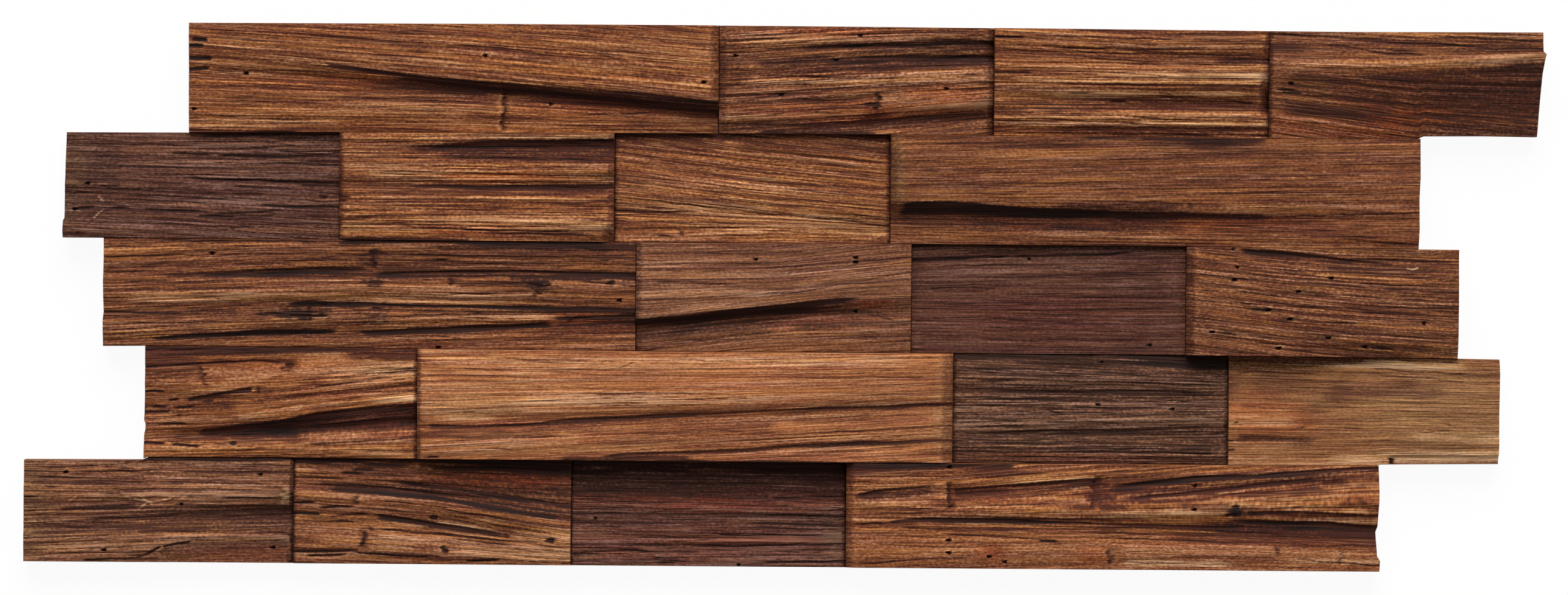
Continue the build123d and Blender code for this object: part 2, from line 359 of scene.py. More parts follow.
    def calm_band(self, path, above, below, smooth=0.6, fade=14):
        """A band of smoother wood along a path."""
        plain = self.from_path(path, above, below)[0]
        self.rough *= 1 - smooth * ease(1.6 - 1.6 * np.abs(plain)) * self.within(path, fade)

    def straw(self, *points, width=0.34, pale_and_highlight=1.3):
        """A loose splinter lying on the face, along a path in any direction."""
        for (u0, v0), (u1, v1) in zip(points, points[1:]):
            along_u, along_v = u1 - u0, v1 - v0
            share = ((self.run - u0) * along_u + (self.rise - v0) * along_v) / (along_u ** 2 + along_v ** 2)
            share = np.clip(share, 0, 1)
            away = np.hypot(self.run - u0 - share * along_u, self.rise - v0 - share * along_v)
            shape = np.clip(1.5 - away / width, 0, 1)
            self.relief += 0.35 * shape
            self.stain_and_shade *= 1 - shape
            self.pale_and_highlight = np.maximum(self.pale_and_highlight, pale_and_highlight * shape)

    def worn_end(self, from_end, wide, drop, low, high, stain_and_shade):
        """A rounded end, painted darker as it turns away from the light: painted shade. from_end is the
        distance of each point from that end of the block.
        """
        share = np.clip(1 - (from_end + 0.3 * self.fray) / wide, 0, 1)
        band = ease((self.rise - low) / 4) * ease((high - self.rise) / 4)
        self.relief -= drop * share ** 1.6 * band
        self.rough *= 1 - 0.6 * ease(2 * share) * band
        self.stain_and_shade = np.maximum(self.stain_and_shade, stain_and_shade * ease(share * 2.2) * band)

    def worn_left(self, wide, drop, low=-9, high=49, stain_and_shade=0.3):
        """A rounded left end."""
        self.worn_end(self.run, wide, drop, low, high, stain_and_shade)

    def worn_right(self, wide, drop, low=-9, high=49, stain_and_shade=0.3):
        """A rounded right end."""
        self.worn_end(self.length - self.run, wide, drop, low, high, stain_and_shade)

    def left_end(self, *line):
        """The line of the left end: heights, and how far the wood stands out past the square end there."""
        self.left_line = line

    def right_end(self, *line):
        """The line of the right end: heights, and how far the wood stands out past the square end there."""
        self.right_line = line

    def end_shift(self):
        """How far every point moves to the right to follow the lines of the two ends."""
        shifts = []
        for line, from_end in ((self.left_line, self.run), (self.right_line, self.length - self.run)):
            heights, out = zip(*line)
            shifts.append(np.interp(self.rise, heights, out) * ease(1 - from_end / END_REACH))
        return shifts[1] - shifts[0]

    def fibres(self, coarse, fine, cracks, torn=0.0, gnarl=0.0, stretch=2.0):
        """The grain itself: splits, bundles and fibres, cracks between them, and torn or gnarled wood. The
        cracks are painted dark: painted shade.
        """
        drawn_out = self.run / stretch

        def swells(layer, long, wide, run=drawn_out):
            return grain_noise(self.seed + layer, run, self.fibre, long, wide)

        split = swells(1, 80, 5.5) + 0.6 * swells(2, 50, 2.9)
        bundle = np.abs(swells(3, 60, 2.6)) + 0.7 * np.abs(swells(4, 36, 1.5))
        thread = np.abs(swells(5, 26, 1.1)) + 0.4 * swells(6, 14, 0.6)
        seam = swells(7, 34, 2.2) + 0.3 * swells(8, 14, 0.9)
        patch = swells(9, 24, 6.0)
        split_line = ease(1 - np.abs(seam) / 0.09) * np.clip(cracks * 1.3 - 0.25 + 0.9 * patch, 0, 1)
        relief = (coarse * (1.1 * split + 1.2 * bundle) + fine * (2.4 * thread + 1.6 * bundle)
                  - 0.4 * split_line)
        if torn:
            ledge = 2.2 * swells(10, 40, 4.6) + 0.5 * swells(11, 9, 1.6)
            step = np.floor(ledge) + ease((ledge - np.floor(ledge)) * 4)
            relief += torn * 0.8 * (step - ledge.mean())
        if gnarl:
            lump = swells(12, 9, 3.4, self.run) + 0.5 * swells(13, 4.2, 1.7, self.run)
            relief += gnarl * lump
        self.relief += relief * self.rough
        self.stain_and_shade = np.maximum(self.stain_and_shade, 0.62 * split_line * np.clip(self.rough, 0, 1))


# The blocks, as they were split

def split_row_1_long_block(face):
    brow = [(46, 25.6), (62, 23.6), (80, 20.9), (100, 18.9), (117, 18), (140, 16.2), (160, 14.9), (180, 13.2),
            (197, 11.4)]
    face.hollow(brow, (0.2, 0.6, 0.9, 1.1, 1.1), 0.7, (1.0, 2.0, 3.8, 5.4, 4.0), 0.95, 14)
    face.hollow([(60, 18.2), (85, 17.2), (117, 14.8)], (0.2, 0.6), 0.8, 2.0, 0.75, 14)
    face.shade([(66, 20.5), (117, 16)], 1.4, 2.6, 0.55, 20)
    face.shade([(119, 13), (150, 10.5), (197, 8)], 2.5, 3.4, 0.6, 10)
    face.shade([(112, 17), (150, 14), (175, 11.4), (197, 10)], (0.8, 1.6, 2.4, 2.6), (1.0, 1.8, 2.6, 2.6),
               0.95, 24)
    face.redden(160, 9, 45, 5, 0.8)
    face.redden(60, 18, 60, 5, 0.4)
    face.tear(117, 0.3, 17.6, 1.1, 11, 0.8)
    face.cracks(1.8, 0.9, 1.2, 1.2, [(1, 34.4), (3, 33.4), (7.4, 33.8)], [(0, 31.8), (6, 31.3)],
                [(0, 27.3), (9, 27)], [(0, 23), (4, 22.8), (8, 23.8)])
    face.cracks(0.7, 0.4, 0.6, 14, [(8, 30.6), (30, 28.6), (60, 26), (80, 23.6)],
                [(10, 27.2), (40, 25.8), (60, 24.2)], [(2, 22.8), (40, 22.4), (66, 21.8), (88, 20.2)],
                [(4, 16.8), (60, 17.4)], [(30, 11), (62, 12.2), (116, 13.4)], [(40, 38.8), (76, 36.6)],
                [(34, 36), (76, 33.4)], [(118, 38.4), (172, 37.6)], [(96, 32.4), (160, 29.6)],
                [(124, 28.4), (162, 25.8)], [(140, 26.6), (197, 22.6)])
    face.crack([(143, 6.8), (165, 7.2), (180, 8)], 0.8, 0.6, 0.9, 10)
    face.crack([(0, 0.4), (45, 0.4)], 0.8, 0.5, 0.9, 8)
    face.pits(0.55, 1.4, (2, 8.5), (191.4, 18.8), (110.4, 28.2), (134.6, 10.6), (21.4, 21.6))
    face.crest([(86, 23.6), (140, 18.8), (192, 14.4)], 0.4, 4.5, 2.6, 0.2)
    face.pale_spot(187, 18.5, 6, 1.2, 0.6)
    face.pale_band([(0, 12), (60, 9), (116, 7)], 4, 4.5, 0.2)
    face.worn_right(3.4, 1.3, 11, 49, 0.35)
    face.tone_and_lighting_streaks((75, 37, 157, 34.6, 1.6, -0.25), (22, 31, 62, 29, 2, -0.2), (140, 14.4, 197, 10.4, 1.6, 0.15),
               (6, 38, 96, 29.4, 3, -0.4), (70, 24.7, 143, 18.3, 1.6, -0.4), (11, 12.5, 119, 10.6, 2.2, -0.5),
               (119, 10.4, 157, 8.4, 1.6, -0.25), (172, 15, 197, 13.4, 1.6, -0.3), (157, 4, 197, 3, 2, -0.25),
               (5, 22, 100, 18.2, 1.4, 0.35), (5, 22, 36, 21.4, 1.4, 0.2), (104, 24.6, 130, 24.6, 1.2, 0.25),
               (140, 29.6, 195, 25, 1.8, 0.35), (0, 4, 62, 3.8, 1.6, 0.3), (147, 14.5, 195, 10, 1.4, 0.25),
               (0, 29, 8, 29, 1.6, 0.4), (90, 13.5, 190, 5.5, 2.0, 0.35))
    face.fibres(0.2, 0.11, 0.3, stretch=2.4)


def split_row_1_block_2(face):
    face.hollow([(24, 31.4), (60, 33.4), (80, 34.6), (101, 34.8)], (0.3, 0.8, 1.1), 1.0, (1.2, 3.6), 0.66, 14)
    face.shade([(36, 30.6), (101, 32)], 3, 3.4, 0.45, 24)
    face.hollow([(10, 25.8), (40, 27.8), (62, 29), (101, 29.4)], (0.3, 0.8, 1.2), 1.0, (1.4, 3.6), 0.66, 14)
    face.crack([(0, 29.5), (28, 31.2)], 0.7, 0.6, 0.7, 8)
    face.crest([(56, 31), (101, 31.2)], 0.3, 1.0, 1.0, 0.2)
    face.plate([(64, 19.6), (82, 19.4), (101, 20)], [(64, 25.2), (82, 25.4), (101, 26)], 0.5, 1.4, 1, 0.4,
               0.5)
    face.plate([(52, 19), (64, 19)], [(52, 22), (64, 22.4)], 0.35, 1.4, 4, 0.3, 0.25)
    face.cracks(0.7, 0.5, 0.7, 8, [(20, 21.2), (52, 21)], [(24, 13), (52, 12.4)], [(50, 11), (58, 10.4)],
                [(5, 17.6), (40, 18.6)])
    face.crest([(4, 19.4), (50, 20)], 0.3, 1.6, 1.6, 0.25)
    face.plate([(60, 9.6), (80, 10), (101, 10.6)], [(60, 15.6), (80, 16), (101, 16.8)], 0.15, 1.0, 1, 0.4,
               0.7)
    face.tear(58.6, 8.5, 16, 0.9, -7, 0.9)
    face.knot(55.5, 11, 2.4, 1.0, 0.6, 0.8)
    face.crest([(4, 6), (40, 6), (57, 7.2)], 0.2, 2.2, 1.4, 0.35)
    face.hollow([(0, 3.4), (36, 2.6), (60, 4.6), (80, 6.4), (101, 7.6)], (0.2, 0.3, 0.3, 0.35), 0.9,
                (3, 2.4, 2.2, 2.6), 0.6)
    face.crest([(54, 2.6), (80, 4.2), (101, 5)], 0.4, 1.8, 2, 0.35)
    face.cracks(0.6, 0.4, 0.6, 12, [(6, 36), (50, 38.6)], [(30, 36.6), (90, 38.4)], [(0, 34), (30, 35.4)],
                [(64, 17.6), (98, 18.6)])
    face.pits(0.5, 1.3, (51.8, 36.6), (22.8, 14.4), (43, 27.6), (6, 28.8), (83.4, 17.2))
    face.dark_spot(19, 14.4, 6, 1.0, 0.4)
    face.worn_left(3.4, 0.9, stain_and_shade=0.3)
    face.worn_right(2.8, 1.2, stain_and_shade=0.35)
    face.cracks(1.5, 0.5, 1.0, 12, [(30, 32.2), (60, 33.2), (101, 34.2)],
                [(12, 25.9), (40, 26.7), (70, 27.4), (101, 27.6)], [(44, 28.6), (101, 28.9)])
    # Painted shadow in the joint along the bottom edge
    face.shade([(8, 0), (62, 0)], 1.8, 1, 0.85, 12)
    face.tone_and_lighting_streaks((30, 8.4, 60, 8.6, 1.3, 0.45), (80, 10.8, 101, 11.4, 1.8, 0.45), (3, 36, 52, 36, 2, 0.4),
               (0, 25.3, 14, 25.3, 1.4, -0.25), (5, 30, 24, 30, 1.4, 0.3), (50, 24.4, 101, 26, 1.6, -0.4),
               (5, 19.5, 98, 19, 1.6, 0.4), (0, 14, 58, 13, 1.8, -0.35), (0, 6, 57, 6.6, 1.6, 0.5),
               (57, 7.6, 101, 11, 1.8, 0.5), (60, 2.8, 101, 2.8, 1.8, -0.3), (50, 24, 90, 26, 1.6, -0.5),
               (0, 22, 7, 22, 12, -0.3))
    face.redden(46, 8, 50, 6, 0.8)
    face.redden(84, 15, 20, 6, 0.7)
    face.redden(40, 37.6, 40, 2.4, 0.7)
    face.fibres(0.28, 0.13, 0.5)


def split_row_1_block_3(face):
    face.cracks(0.7, 0.6, 0.75, 8, [(16, 30.8), (40, 29), (62, 27.2)], [(0, 31.6), (101, 30.6)],
                [(10, 37.5), (60, 36.2), (90, 36)], [(15, 33), (80, 32.4)], [(25, 19.6), (80, 19.2)],
                [(26, 8.4), (37, 8.2)])
    face.cracks(0.9, 0.8, 1.0, 3, [(0, 23.4), (15, 23.2)], [(0, 36.6), (12, 36.4)], [(86, 29.2), (101, 29.4)])
    face.hollow([(78, 29), (101, 29)], 0.5, 1.0, 1.2, 0.7)
    face.crest([(0, 26), (50, 24.6), (98, 25.6)], 0.45, 2.0, 3.6, 0.6)
    face.pale_band([(58, 26), (101, 26)], 1.0, 1.0, 0.7)
    face.pale_band([(44, 22.4), (62, 22.2)], 0.6, 0.6, 0.7, 4)
    face.crest([(8, 16.6), (97, 16.4)], 0.15, 3.0, 1.4, 0.35)
    face.hollow([(22, 13.4), (60, 13.6), (98, 13.8)], (0.1, 0.15, 0.2), 0.8, 2.8, 0.45, 16)
    face.cracks(1.1, 0.9, 1.0, 4, [(40, 13), (51, 13)], [(60, 15), (76, 15.2)])
    face.crack([(84, 14), (97, 13)], 0.9, 0.7, 0.9, 4)
    face.crest([(6, 8), (50, 8), (99, 8)], 0.4, 2.0, 2.4, 0.6)
    face.pale_band([(60, 8.2), (99, 8)], 1.2, 1.4, 0.6)
    face.hollow([(16, 2.8), (60, 2.9), (101, 2.9)], 0.35, 1.1, 2.4, 0.55, 14)
    face.crack([(38, 0.8), (101, 0.8)], 1.0, 0.5, 1.0, 6)
    face.pale_band([(0, 38), (14, 38)], 1.2, 1.2, 0.5, 5)
    face.pale_band([(0, 32.6), (14, 32.6)], 0.7, 0.7, 0.5, 5)
    face.worn_right(4.2, 1.4, 7, 25, 0.5)
    face.worn_right(2.0, 0.8, stain_and_shade=0.4)
    face.tone_and_lighting_streaks((16, 15.6, 62, 15.6, 1.2, 0.3), (76, 23, 101, 23.4, 1.4, 0.3), (8, 23, 42, 23, 1.1, -0.3),
               (50, 6, 101, 6, 1.2, 0.25), (35, 36.4, 101, 36.2, 1.6, -0.3),
               (80, 36.4, 101, 36.4, 1.4, -0.15), (0, 24.6, 80, 25, 1.6, -0.3),
               (3, 20.6, 101, 22.2, 1.6, 0.45), (85, 22.2, 101, 22.2, 1.8, 0.3),
               (20, 15.8, 95, 15.8, 1.6, 0.5), (0, 10.6, 101, 10.6, 1.6, -0.35), (5, 5, 101, 5, 1.4, 0.5),
               (0, 21.6, 66, 21.6, 0.9, -0.5), (72, 18.6, 100, 18.6, 1.2, -0.4),
               (0, 14.5, 60, 13.5, 1.4, 0.4), (70, 37.4, 100, 37.8, 1.2, -0.4), (80, 6, 100, 6, 1.0, -0.4))
    face.fibres(0.24, 0.14, 0.5, stretch=2.4)


def split_row_1_block_4(face):
    face.right_end((0, -0.9), (8, -0.5), (24, 0.4), (30, 1.2), (31.6, 1.6), (32.6, 0.5), (40, 0.5))
    # The crest is painted light along its top and the wood under it painted dark: painted highlight and
    # painted shade
    crest = [(2, 26.6), (25, 28.4), (60, 28.6), (80, 30), (101, 31.6)]
    face.crest(crest, 0.6, (2.4, 1.6, 1.0), (5.5, 3.4, 1.4), 0.5)
    face.pale_band([(16, 28.2), (60, 28.6), (80, 30), (101, 31.4)], 0.9, (2.0, 0.8), 0.75, 10)
    face.cracks(1.0, 0.7, 0.95, 12, [(16, 36), (42, 32), (64, 31.2)], [(36, 33.6), (60, 32.4)],
                [(30, 36.6), (84, 34)], [(58, 38.2), (101, 36.6)], [(0, 39), (50, 36.8)],
                [(70, 33.4), (101, 33.6)])
    face.shade([(36, 13), (101, 16)], 12, 20, 0.62, 40)
    face.redden(66, 13, 54, 16, 0.6)
    face.shade([(26, 22.6), (58, 24), (80, 25.4), (101, 27.2)], 1.2, 5.0, 0.72, 22)
    face.shade([(6, 20), (50, 17), (101, 12)], 4, 5, 0.45, 26)
    face.shade([(30, 35), (101, 35)], 2.4, 2.4, 0.3, 16)
    face.redden(30, 6, 46, 8, 0.5)
    face.pale_band([(0, 7), (30, 4), (52, 1)], 3, 4, 0.3)
    for start, end in ((13, 5), (10, 2.8), (16.5, 7.5), (19.6, 10.5), (22.4, 13.6), (6.4, 0.6)):
        face.crack([(3, start), (32, start - 1.4), (62, end)], 0.55, 0.4, 0.6, 14)
    for start, end in ((20, 19), (16, 16), (11, 12), (24, 24.6)):
        face.crack([(40, start), (70, start - 0.6), (101, end)], 0.5, 0.3, 0.5, 20)
    face.cracks(0.8, 0.5, 0.95, 3, [(2, 18.4), (11, 18)], [(3, 17.2), (13, 16.8)])
    face.pits(0.6, 1.4, (8, 20.6))
    face.worn_left(1.4, 0.6, stain_and_shade=0.5)
    face.tone_and_lighting_streaks((4, 17, 101, 13, 8, -0.1), (84, 5, 101, 5, 2.4, -0.2), (0, 32, 34, 31.6, 2, -0.25),
               (2, 20.5, 40, 21, 2.4, -0.2), (2, 9.6, 40, 9, 2, -0.25), (78, 29.4, 101, 31.4, 1.4, 0.35),
               (15, 38.5, 101, 38.5, 1.4, 0.4), (0, 32.4, 16, 32.4, 2, -0.5), (28, 29.6, 86, 31, 1.2, -0.35),
               (52, 26, 101, 29.6, 1.2, 0.5), (6, 22, 101, 21.4, 2.4, -0.25), (2, 10.4, 50, 9.6, 2.4, -0.4),
               (48, 8, 101, 6, 2.4, -0.3), (53, 0.8, 76, 0.8, 1, 0.4))
    face.fibres(0.15, 0.12, 0.35, stretch=2.4)


def split_row_2_block_1(face):
    face.left_end((0, 1.3), (6.4, 1.2), (7.4, 0.6), (20, 0.7), (40, 0.4))
    # Painted shadow along the top edge, cast by the long block above
    face.shade([(44, 40), (101, 40)], 1, 3, 0.6)
    face.redden(2, 24, 10, 26, -0.55)
    face.dark_spot(13, 27, 8, 20, 0.28)
    face.straw((12, 15.6), (13.6, 13.8))
    face.straw((10.4, 7.5), (13.6, 10.6))
    face.straw((22.6, 12.3), (24.2, 11.8), pale_and_highlight=1.0)
    face.cracks(1.1, 0.8, 1.0, 5, [(36, 31.8), (56, 31.8)], [(54, 31.2), (93, 31)],
                [(43, 22.6), (70, 22.2), (101, 21)], [(60, 19.5), (86, 18.8)], [(84, 20.4), (101, 20.2)],
                [(70, 12.6), (101, 12)], [(14, 11.4), (25, 11)], [(27, 10.6), (52, 10.2)],
                [(54, 9), (82, 10.8)], [(46, 8.4), (80, 8.8)], [(2, 11), (12, 11.2)])
    face.cracks(0.55, 0.4, 0.6, 10, [(3, 27.5), (40, 26.6)], [(20, 16), (60, 15.6)], [(5, 35.5), (50, 35)],
                [(30, 5.5), (80, 4)], [(0, 19), (40, 18.4)], [(50, 28.6), (101, 28)], [(50, 25), (96, 24.6)],
                [(20, 24), (60, 23.8)], [(60, 6.4), (101, 5.6)], [(8, 13.4), (44, 13)],
                [(40, 37), (72, 36.4)])
    face.hollow([(45, 22), (101, 21)], 0.6, 1.0, 1.4, 0.35)
    face.hollow([(34, 31.8), (101, 31)], 0.5, 1.0, 1.4, 0.35)
    face.crack([(44, 33.4), (72, 34)], 0.5, 0.5, 0.8, 6)
    face.tear(73, 33, 35.5, 0.6, 8, 0.7)
    face.pale_band([(40, 34.8), (101, 34.4)], 0.8, 0.8, 0.4)
    face.pale_band([(26, 14.6), (101, 14)], 1.2, 1.4, 0.4)
    face.pale_band([(0, 29), (60, 27.6)], 1.0, 1.0, 0.3)
    face.pale_band([(62, 17.4), (94, 17.2)], 0.8, 0.8, 0.4)
    face.knot(94.5, 16, 1.8, 1.0, 0.5, 0.7)
    face.pits(0.5, 1.3, (8, 20.5), (3.6, 10.7))
    face.crest([(0, 3), (30, 3.4), (101, 2)], (0.9, 0.5, 0.2), 2.6, 3, 0.35)
    face.tone_and_lighting_streaks((2, 31, 20, 31, 4, 0.2), (68, 32.6, 101, 32.6, 1.6, 0.4), (81, 27.6, 101, 27.6, 1.4, 0.5),
               (20, 17.2, 101, 18, 1.4, -0.25), (17, 13.4, 96, 13.4, 1.2, 0.15), (0, 9, 90, 7.6, 1.4, -0.3))
    face.fibres(0.26, 0.11, 0.6, stretch=1.6)


def split_row_2_block_2(face):
    face.hollow([(20, 34.2), (40, 35.2), (62, 36.4), (101, 36.8)], (0.3, 0.9, 1.5, 1.6), (0.8, 1.2),
                (1.6, 3.0, 4.4, 4.8), 0.74, 14)
    face.shade([(30, 33), (60, 32.4), (101, 32)], 2.4, 2.6, 0.7, 20)
    face.cracks(0.5, 0.4, 0.6, 8, [(6, 38.6), (40, 38.4)], [(10, 36.6), (46, 36.8)], [(4, 33), (26, 33.4)],
                [(4, 28), (50, 28)], [(30, 27.6), (96, 27.2)], [(4, 17.6), (40, 17.4)],
                [(40, 17), (90, 16.8)], [(6, 11.6), (60, 11.4)], [(10, 14), (60, 14.4)], [(10, 6), (70, 5.2)])
    face.crack([(18, 31), (60, 30.4), (100, 30.2)], 0.8, 0.7, 0.95, 10)
    face.crest([(10, 24), (98, 23.8)], 0.15, 4.2, 1.8, 0.25)
    face.pale_band([(10, 26.6), (96, 26)], 1.0, 1.2, 0.35)
    face.pale_band([(72, 22.8), (94, 22.8)], 0.6, 0.6, 0.8, 5)
    face.hollow([(24, 19.8), (36, 20.2), (62, 19.9), (66, 20.4), (101, 20.4)], (0.2, 0.5, 0.6), 0.8,
                (1.4, 2.0, 2.6), 0.97, 8)
    face.crest([(8, 16), (97, 15.6)], 0.3, 1.4, 1.4, 0.25)
    face.pale_band([(58, 15.6), (96, 15.4)], 0.6, 0.6, 0.5)
    face.crack([(72, 14), (94, 13.8)], 0.9, 0.6, 0.8, 8)
    face.pale_band([(46, 10.6), (101, 9.8)], 0.6, 0.6, 0.6)
    face.crest([(20, 7.4), (97, 7.8)], 0.4, 2.2, 2.2, 0.4)
    face.pale_band([(78, 8), (97, 7.8)], 0.8, 0.8, 0.9, 5)
    face.cracks(0.8, 0.7, 0.9, 10, [(40, 4.2), (90, 3.6)], [(50, 2.8), (96, 2.6)], [(20, 4.8), (50, 4.2)])
    face.pale_band([(72, 1.2), (96, 1.4)], 0.5, 0.5, 0.7, 5)
    face.cracks(0.9, 0.7, 0.9, 2, [(0, 16.4), (5, 16)], [(0, 14.6), (4, 14.4)])
    face.worn_left(1.6, 0.8, stain_and_shade=0.5)
    face.worn_right(8, 1.0, 20, 26.5, 0.3)
    face.worn_right(5, 1.6, -9, 7.5, 0.45)
    face.worn_right(2.6, 0.8, stain_and_shade=0.35)
    face.cracks(1.9, 0.5, 1.1, 10, [(26, 34.2), (60, 34.9), (101, 35.4)], [(56, 36.6), (101, 37.2)])
    # Painted shadow in the joint along the bottom edge
    face.shade([(0, 0), (54, 0)], 1.3, 1, 0.9, 10)
    face.tone_and_lighting_streaks((22, 38.4, 101, 38.2, 1.2, 0.45), (0, 29.9, 101, 31.4, 1.6, -0.4),
               (5, 23.4, 101, 23.4, 1.8, 0.6), (0, 18.4, 101, 17.2, 1.2, -0.45),
               (14, 11.6, 60, 11.6, 1.4, 0.3), (0, 5.2, 101, 5, 1.8, 0.6))
    face.redden(62, 23.6, 42, 2.6, 0.9)
    face.redden(46, 5, 46, 3.2, 0.8)
    face.fibres(0.2, 0.14, 0.45, stretch=2.4)


def split_row_2_block_3(face):
    face.crack([(14, 15.6), (30, 13.6), (50, 11.2), (72, 9.7), (101, 6.4)], (0.5, 0.7, 0.9), 0.7, 0.95, 8)
    face.cracks(0.7, 0.5, 0.85, 5, [(0, 12), (10, 11), (32, 11.4)], [(13, 2.4), (24, 2.4)],
                [(70, 9.4), (101, 9)])
    for start, end in ((38, 30), (34.5, 27.4), (31, 22.5), (28, 19.6), (25, 16), (22, 13.6), (19, 11.8),
                       (36.4, 25)):
        face.crack([(4, start), (50, (start + end) / 2 - 0.8), (98, end)], 0.5, 0.35, 0.55, 24)
    face.cracks(0.5, 0.35, 0.5, 10, [(0, 5), (60, 6)], [(6, 8), (50, 7.4)], [(30, 3), (90, 2)])
    face.tear(23.4, 1.8, 5.4, 0.6, 6, 0.8)
    face.pale_spot(56, 22, 30, 9, 0.22)
    face.pale_spot(95, 4, 7, 1.6, 0.7)
    face.pale_band([(24, 4.6), (60, 4), (101, 2)], 1.6, 2.4, 0.35)
    # Painted shadow along the top edge, cast by the row above
    face.shade([(0, 40), (101, 40)], 1, 2.6, 0.7)
    face.worn_left(1.2, 0.6, stain_and_shade=0.5)
    face.worn_right(1.4, 0.6, stain_and_shade=0.45)
    # Painted shadow in the joint along the bottom edge
    face.shade([(0, 0), (46, 0)], 1.0, 1, 0.85, 12)
    face.tone_and_lighting_streaks((0, 35.8, 44, 35.6, 2, -0.45), (40, 37.2, 101, 33.6, 3, -0.5), (0, 24.4, 27, 20.6, 1.6, -0.5),
               (26, 20, 42, 17.6, 1.4, -0.3), (38, 23.4, 64, 23.4, 1.4, 0.4), (0, 14.2, 63, 13, 1.6, 0.5),
               (60, 11.6, 101, 8.6, 1.6, 0.55), (19, 6.4, 101, 4.8, 1.6, 0.45),
               (63, 28.6, 93, 26.4, 1.2, 0.2), (14, 13, 90, 8, 3.0, 0.35))
    face.fibres(0.18, 0.14, 0.4, stretch=2.0)


def split_row_2_long_block(face):
    face.right_end((0, 0.3), (8, 0.6), (18, 0.3), (26, 0.6), (40, 0.5))
    face.hollow([(2, 13), (8, 14.8), (20, 15.2), (40, 14), (60, 13), (84, 12.2)], (1.0, 1.0, 0.9, 0.6), 0.8,
                (4.6, 5.8, 4.4, 3.0), 1.05, 5)
    face.hollow([(60, 13), (84, 12.2), (110, 12), (150, 11.2)], (1.0, 0.6, 0.2), 0.8, (3.6, 3.0, 1.6), 0.72,
                16)
    face.shade([(56, 13.6), (90, 14.6), (114, 14)], 2.0, 2.6, 0.5, 14)
    face.shade([(14, 9.6), (60, 8.6), (120, 8)], 2.4, 3.4, 0.5, 20)
    face.redden(90, 9, 90, 5, 0.7)
    face.cracks(0.7, 0.6, 0.85, 8, [(78, 16), (100, 16.2), (113, 15.4)], [(24, 8.6), (62, 7.4)],
                [(54, 7), (92, 5.2)], [(140, 11.2), (197, 13.2)], [(118, 8), (168, 6.4)],
                [(168, 3), (197, 1.6)])
    face.tear(111, 13.6, 16.6, 0.6, 9, 0.7)
    face.cracks(0.5, 0.3, 0.45, 20, [(5, 24.6), (60, 27.6)], [(60, 27), (130, 29), (197, 31)],
                [(90, 18.4), (160, 21)], [(10, 35.4), (80, 37)], [(20, 18.5), (70, 19)],
                [(100, 24), (190, 27)], [(90, 33.6), (180, 35)], [(10, 2.4), (80, 2)], [(5, 30), (50, 32)],
                [(30, 22), (90, 23.6)], [(120, 14.6), (190, 17.6)])
    face.pale_band([(54, 16.8), (100, 18.2), (132, 19.6)], 0.7, 0.7, 0.5)
    face.pale_band([(96, 20), (162, 22.6)], 0.7, 0.7, 0.45)
    face.pale_band([(0, 3.6), (40, 3.6)], 1.6, 2, 0.3)
    face.pale_spot(99, 3, 7, 0.9, 0.8)
    face.pale_spot(144, 4, 16, 0.9, 0.6)
    face.pale_band([(136, 0.6), (182, 0.9)], 0.9, 1, 0.9, 4)
    # A crack along the top edge, painted black as the shadow of the blocks above: painted shadow
    face.crack([(70, 39.6), (140, 39.6)], 1.2, 0.5, 1.0, 5)
    face.redden(2.5, 26, 3.5, 20, -0.7)
    face.worn_left(4.2, 1.6, 13, 49, 0.15)
    # Painted shadow under the right end of the block above
    face.shade([(90, 40), (112, 40), (142, 40)], 1, (1.2, 2.4, 1.8), 0.9, 6)
    # Among these streaks, the dark one along the top edge is painted shadow under the blocks above
    face.tone_and_lighting_streaks((118, 1.4, 165, 1.4, 1.4, 0.3), (92, 38, 142, 37.6, 2, -0.5), (19, 37.5, 76, 37.5, 1.6, -0.2),
               (5, 29, 64, 29, 1.6, 0.2), (94, 28, 197, 28, 1.8, -0.2), (24, 18.7, 94, 18.7, 1.4, -0.25),
               (132, 19.6, 172, 19.6, 1.2, 0.2), (120, 15, 195, 15, 1.4, 0.4), (0, 7.9, 28, 7.9, 1.6, -0.45),
               (113, 5.6, 197, 5.6, 1.6, -0.25))
    face.fibres(0.12, 0.08, 0.2, stretch=3.0)


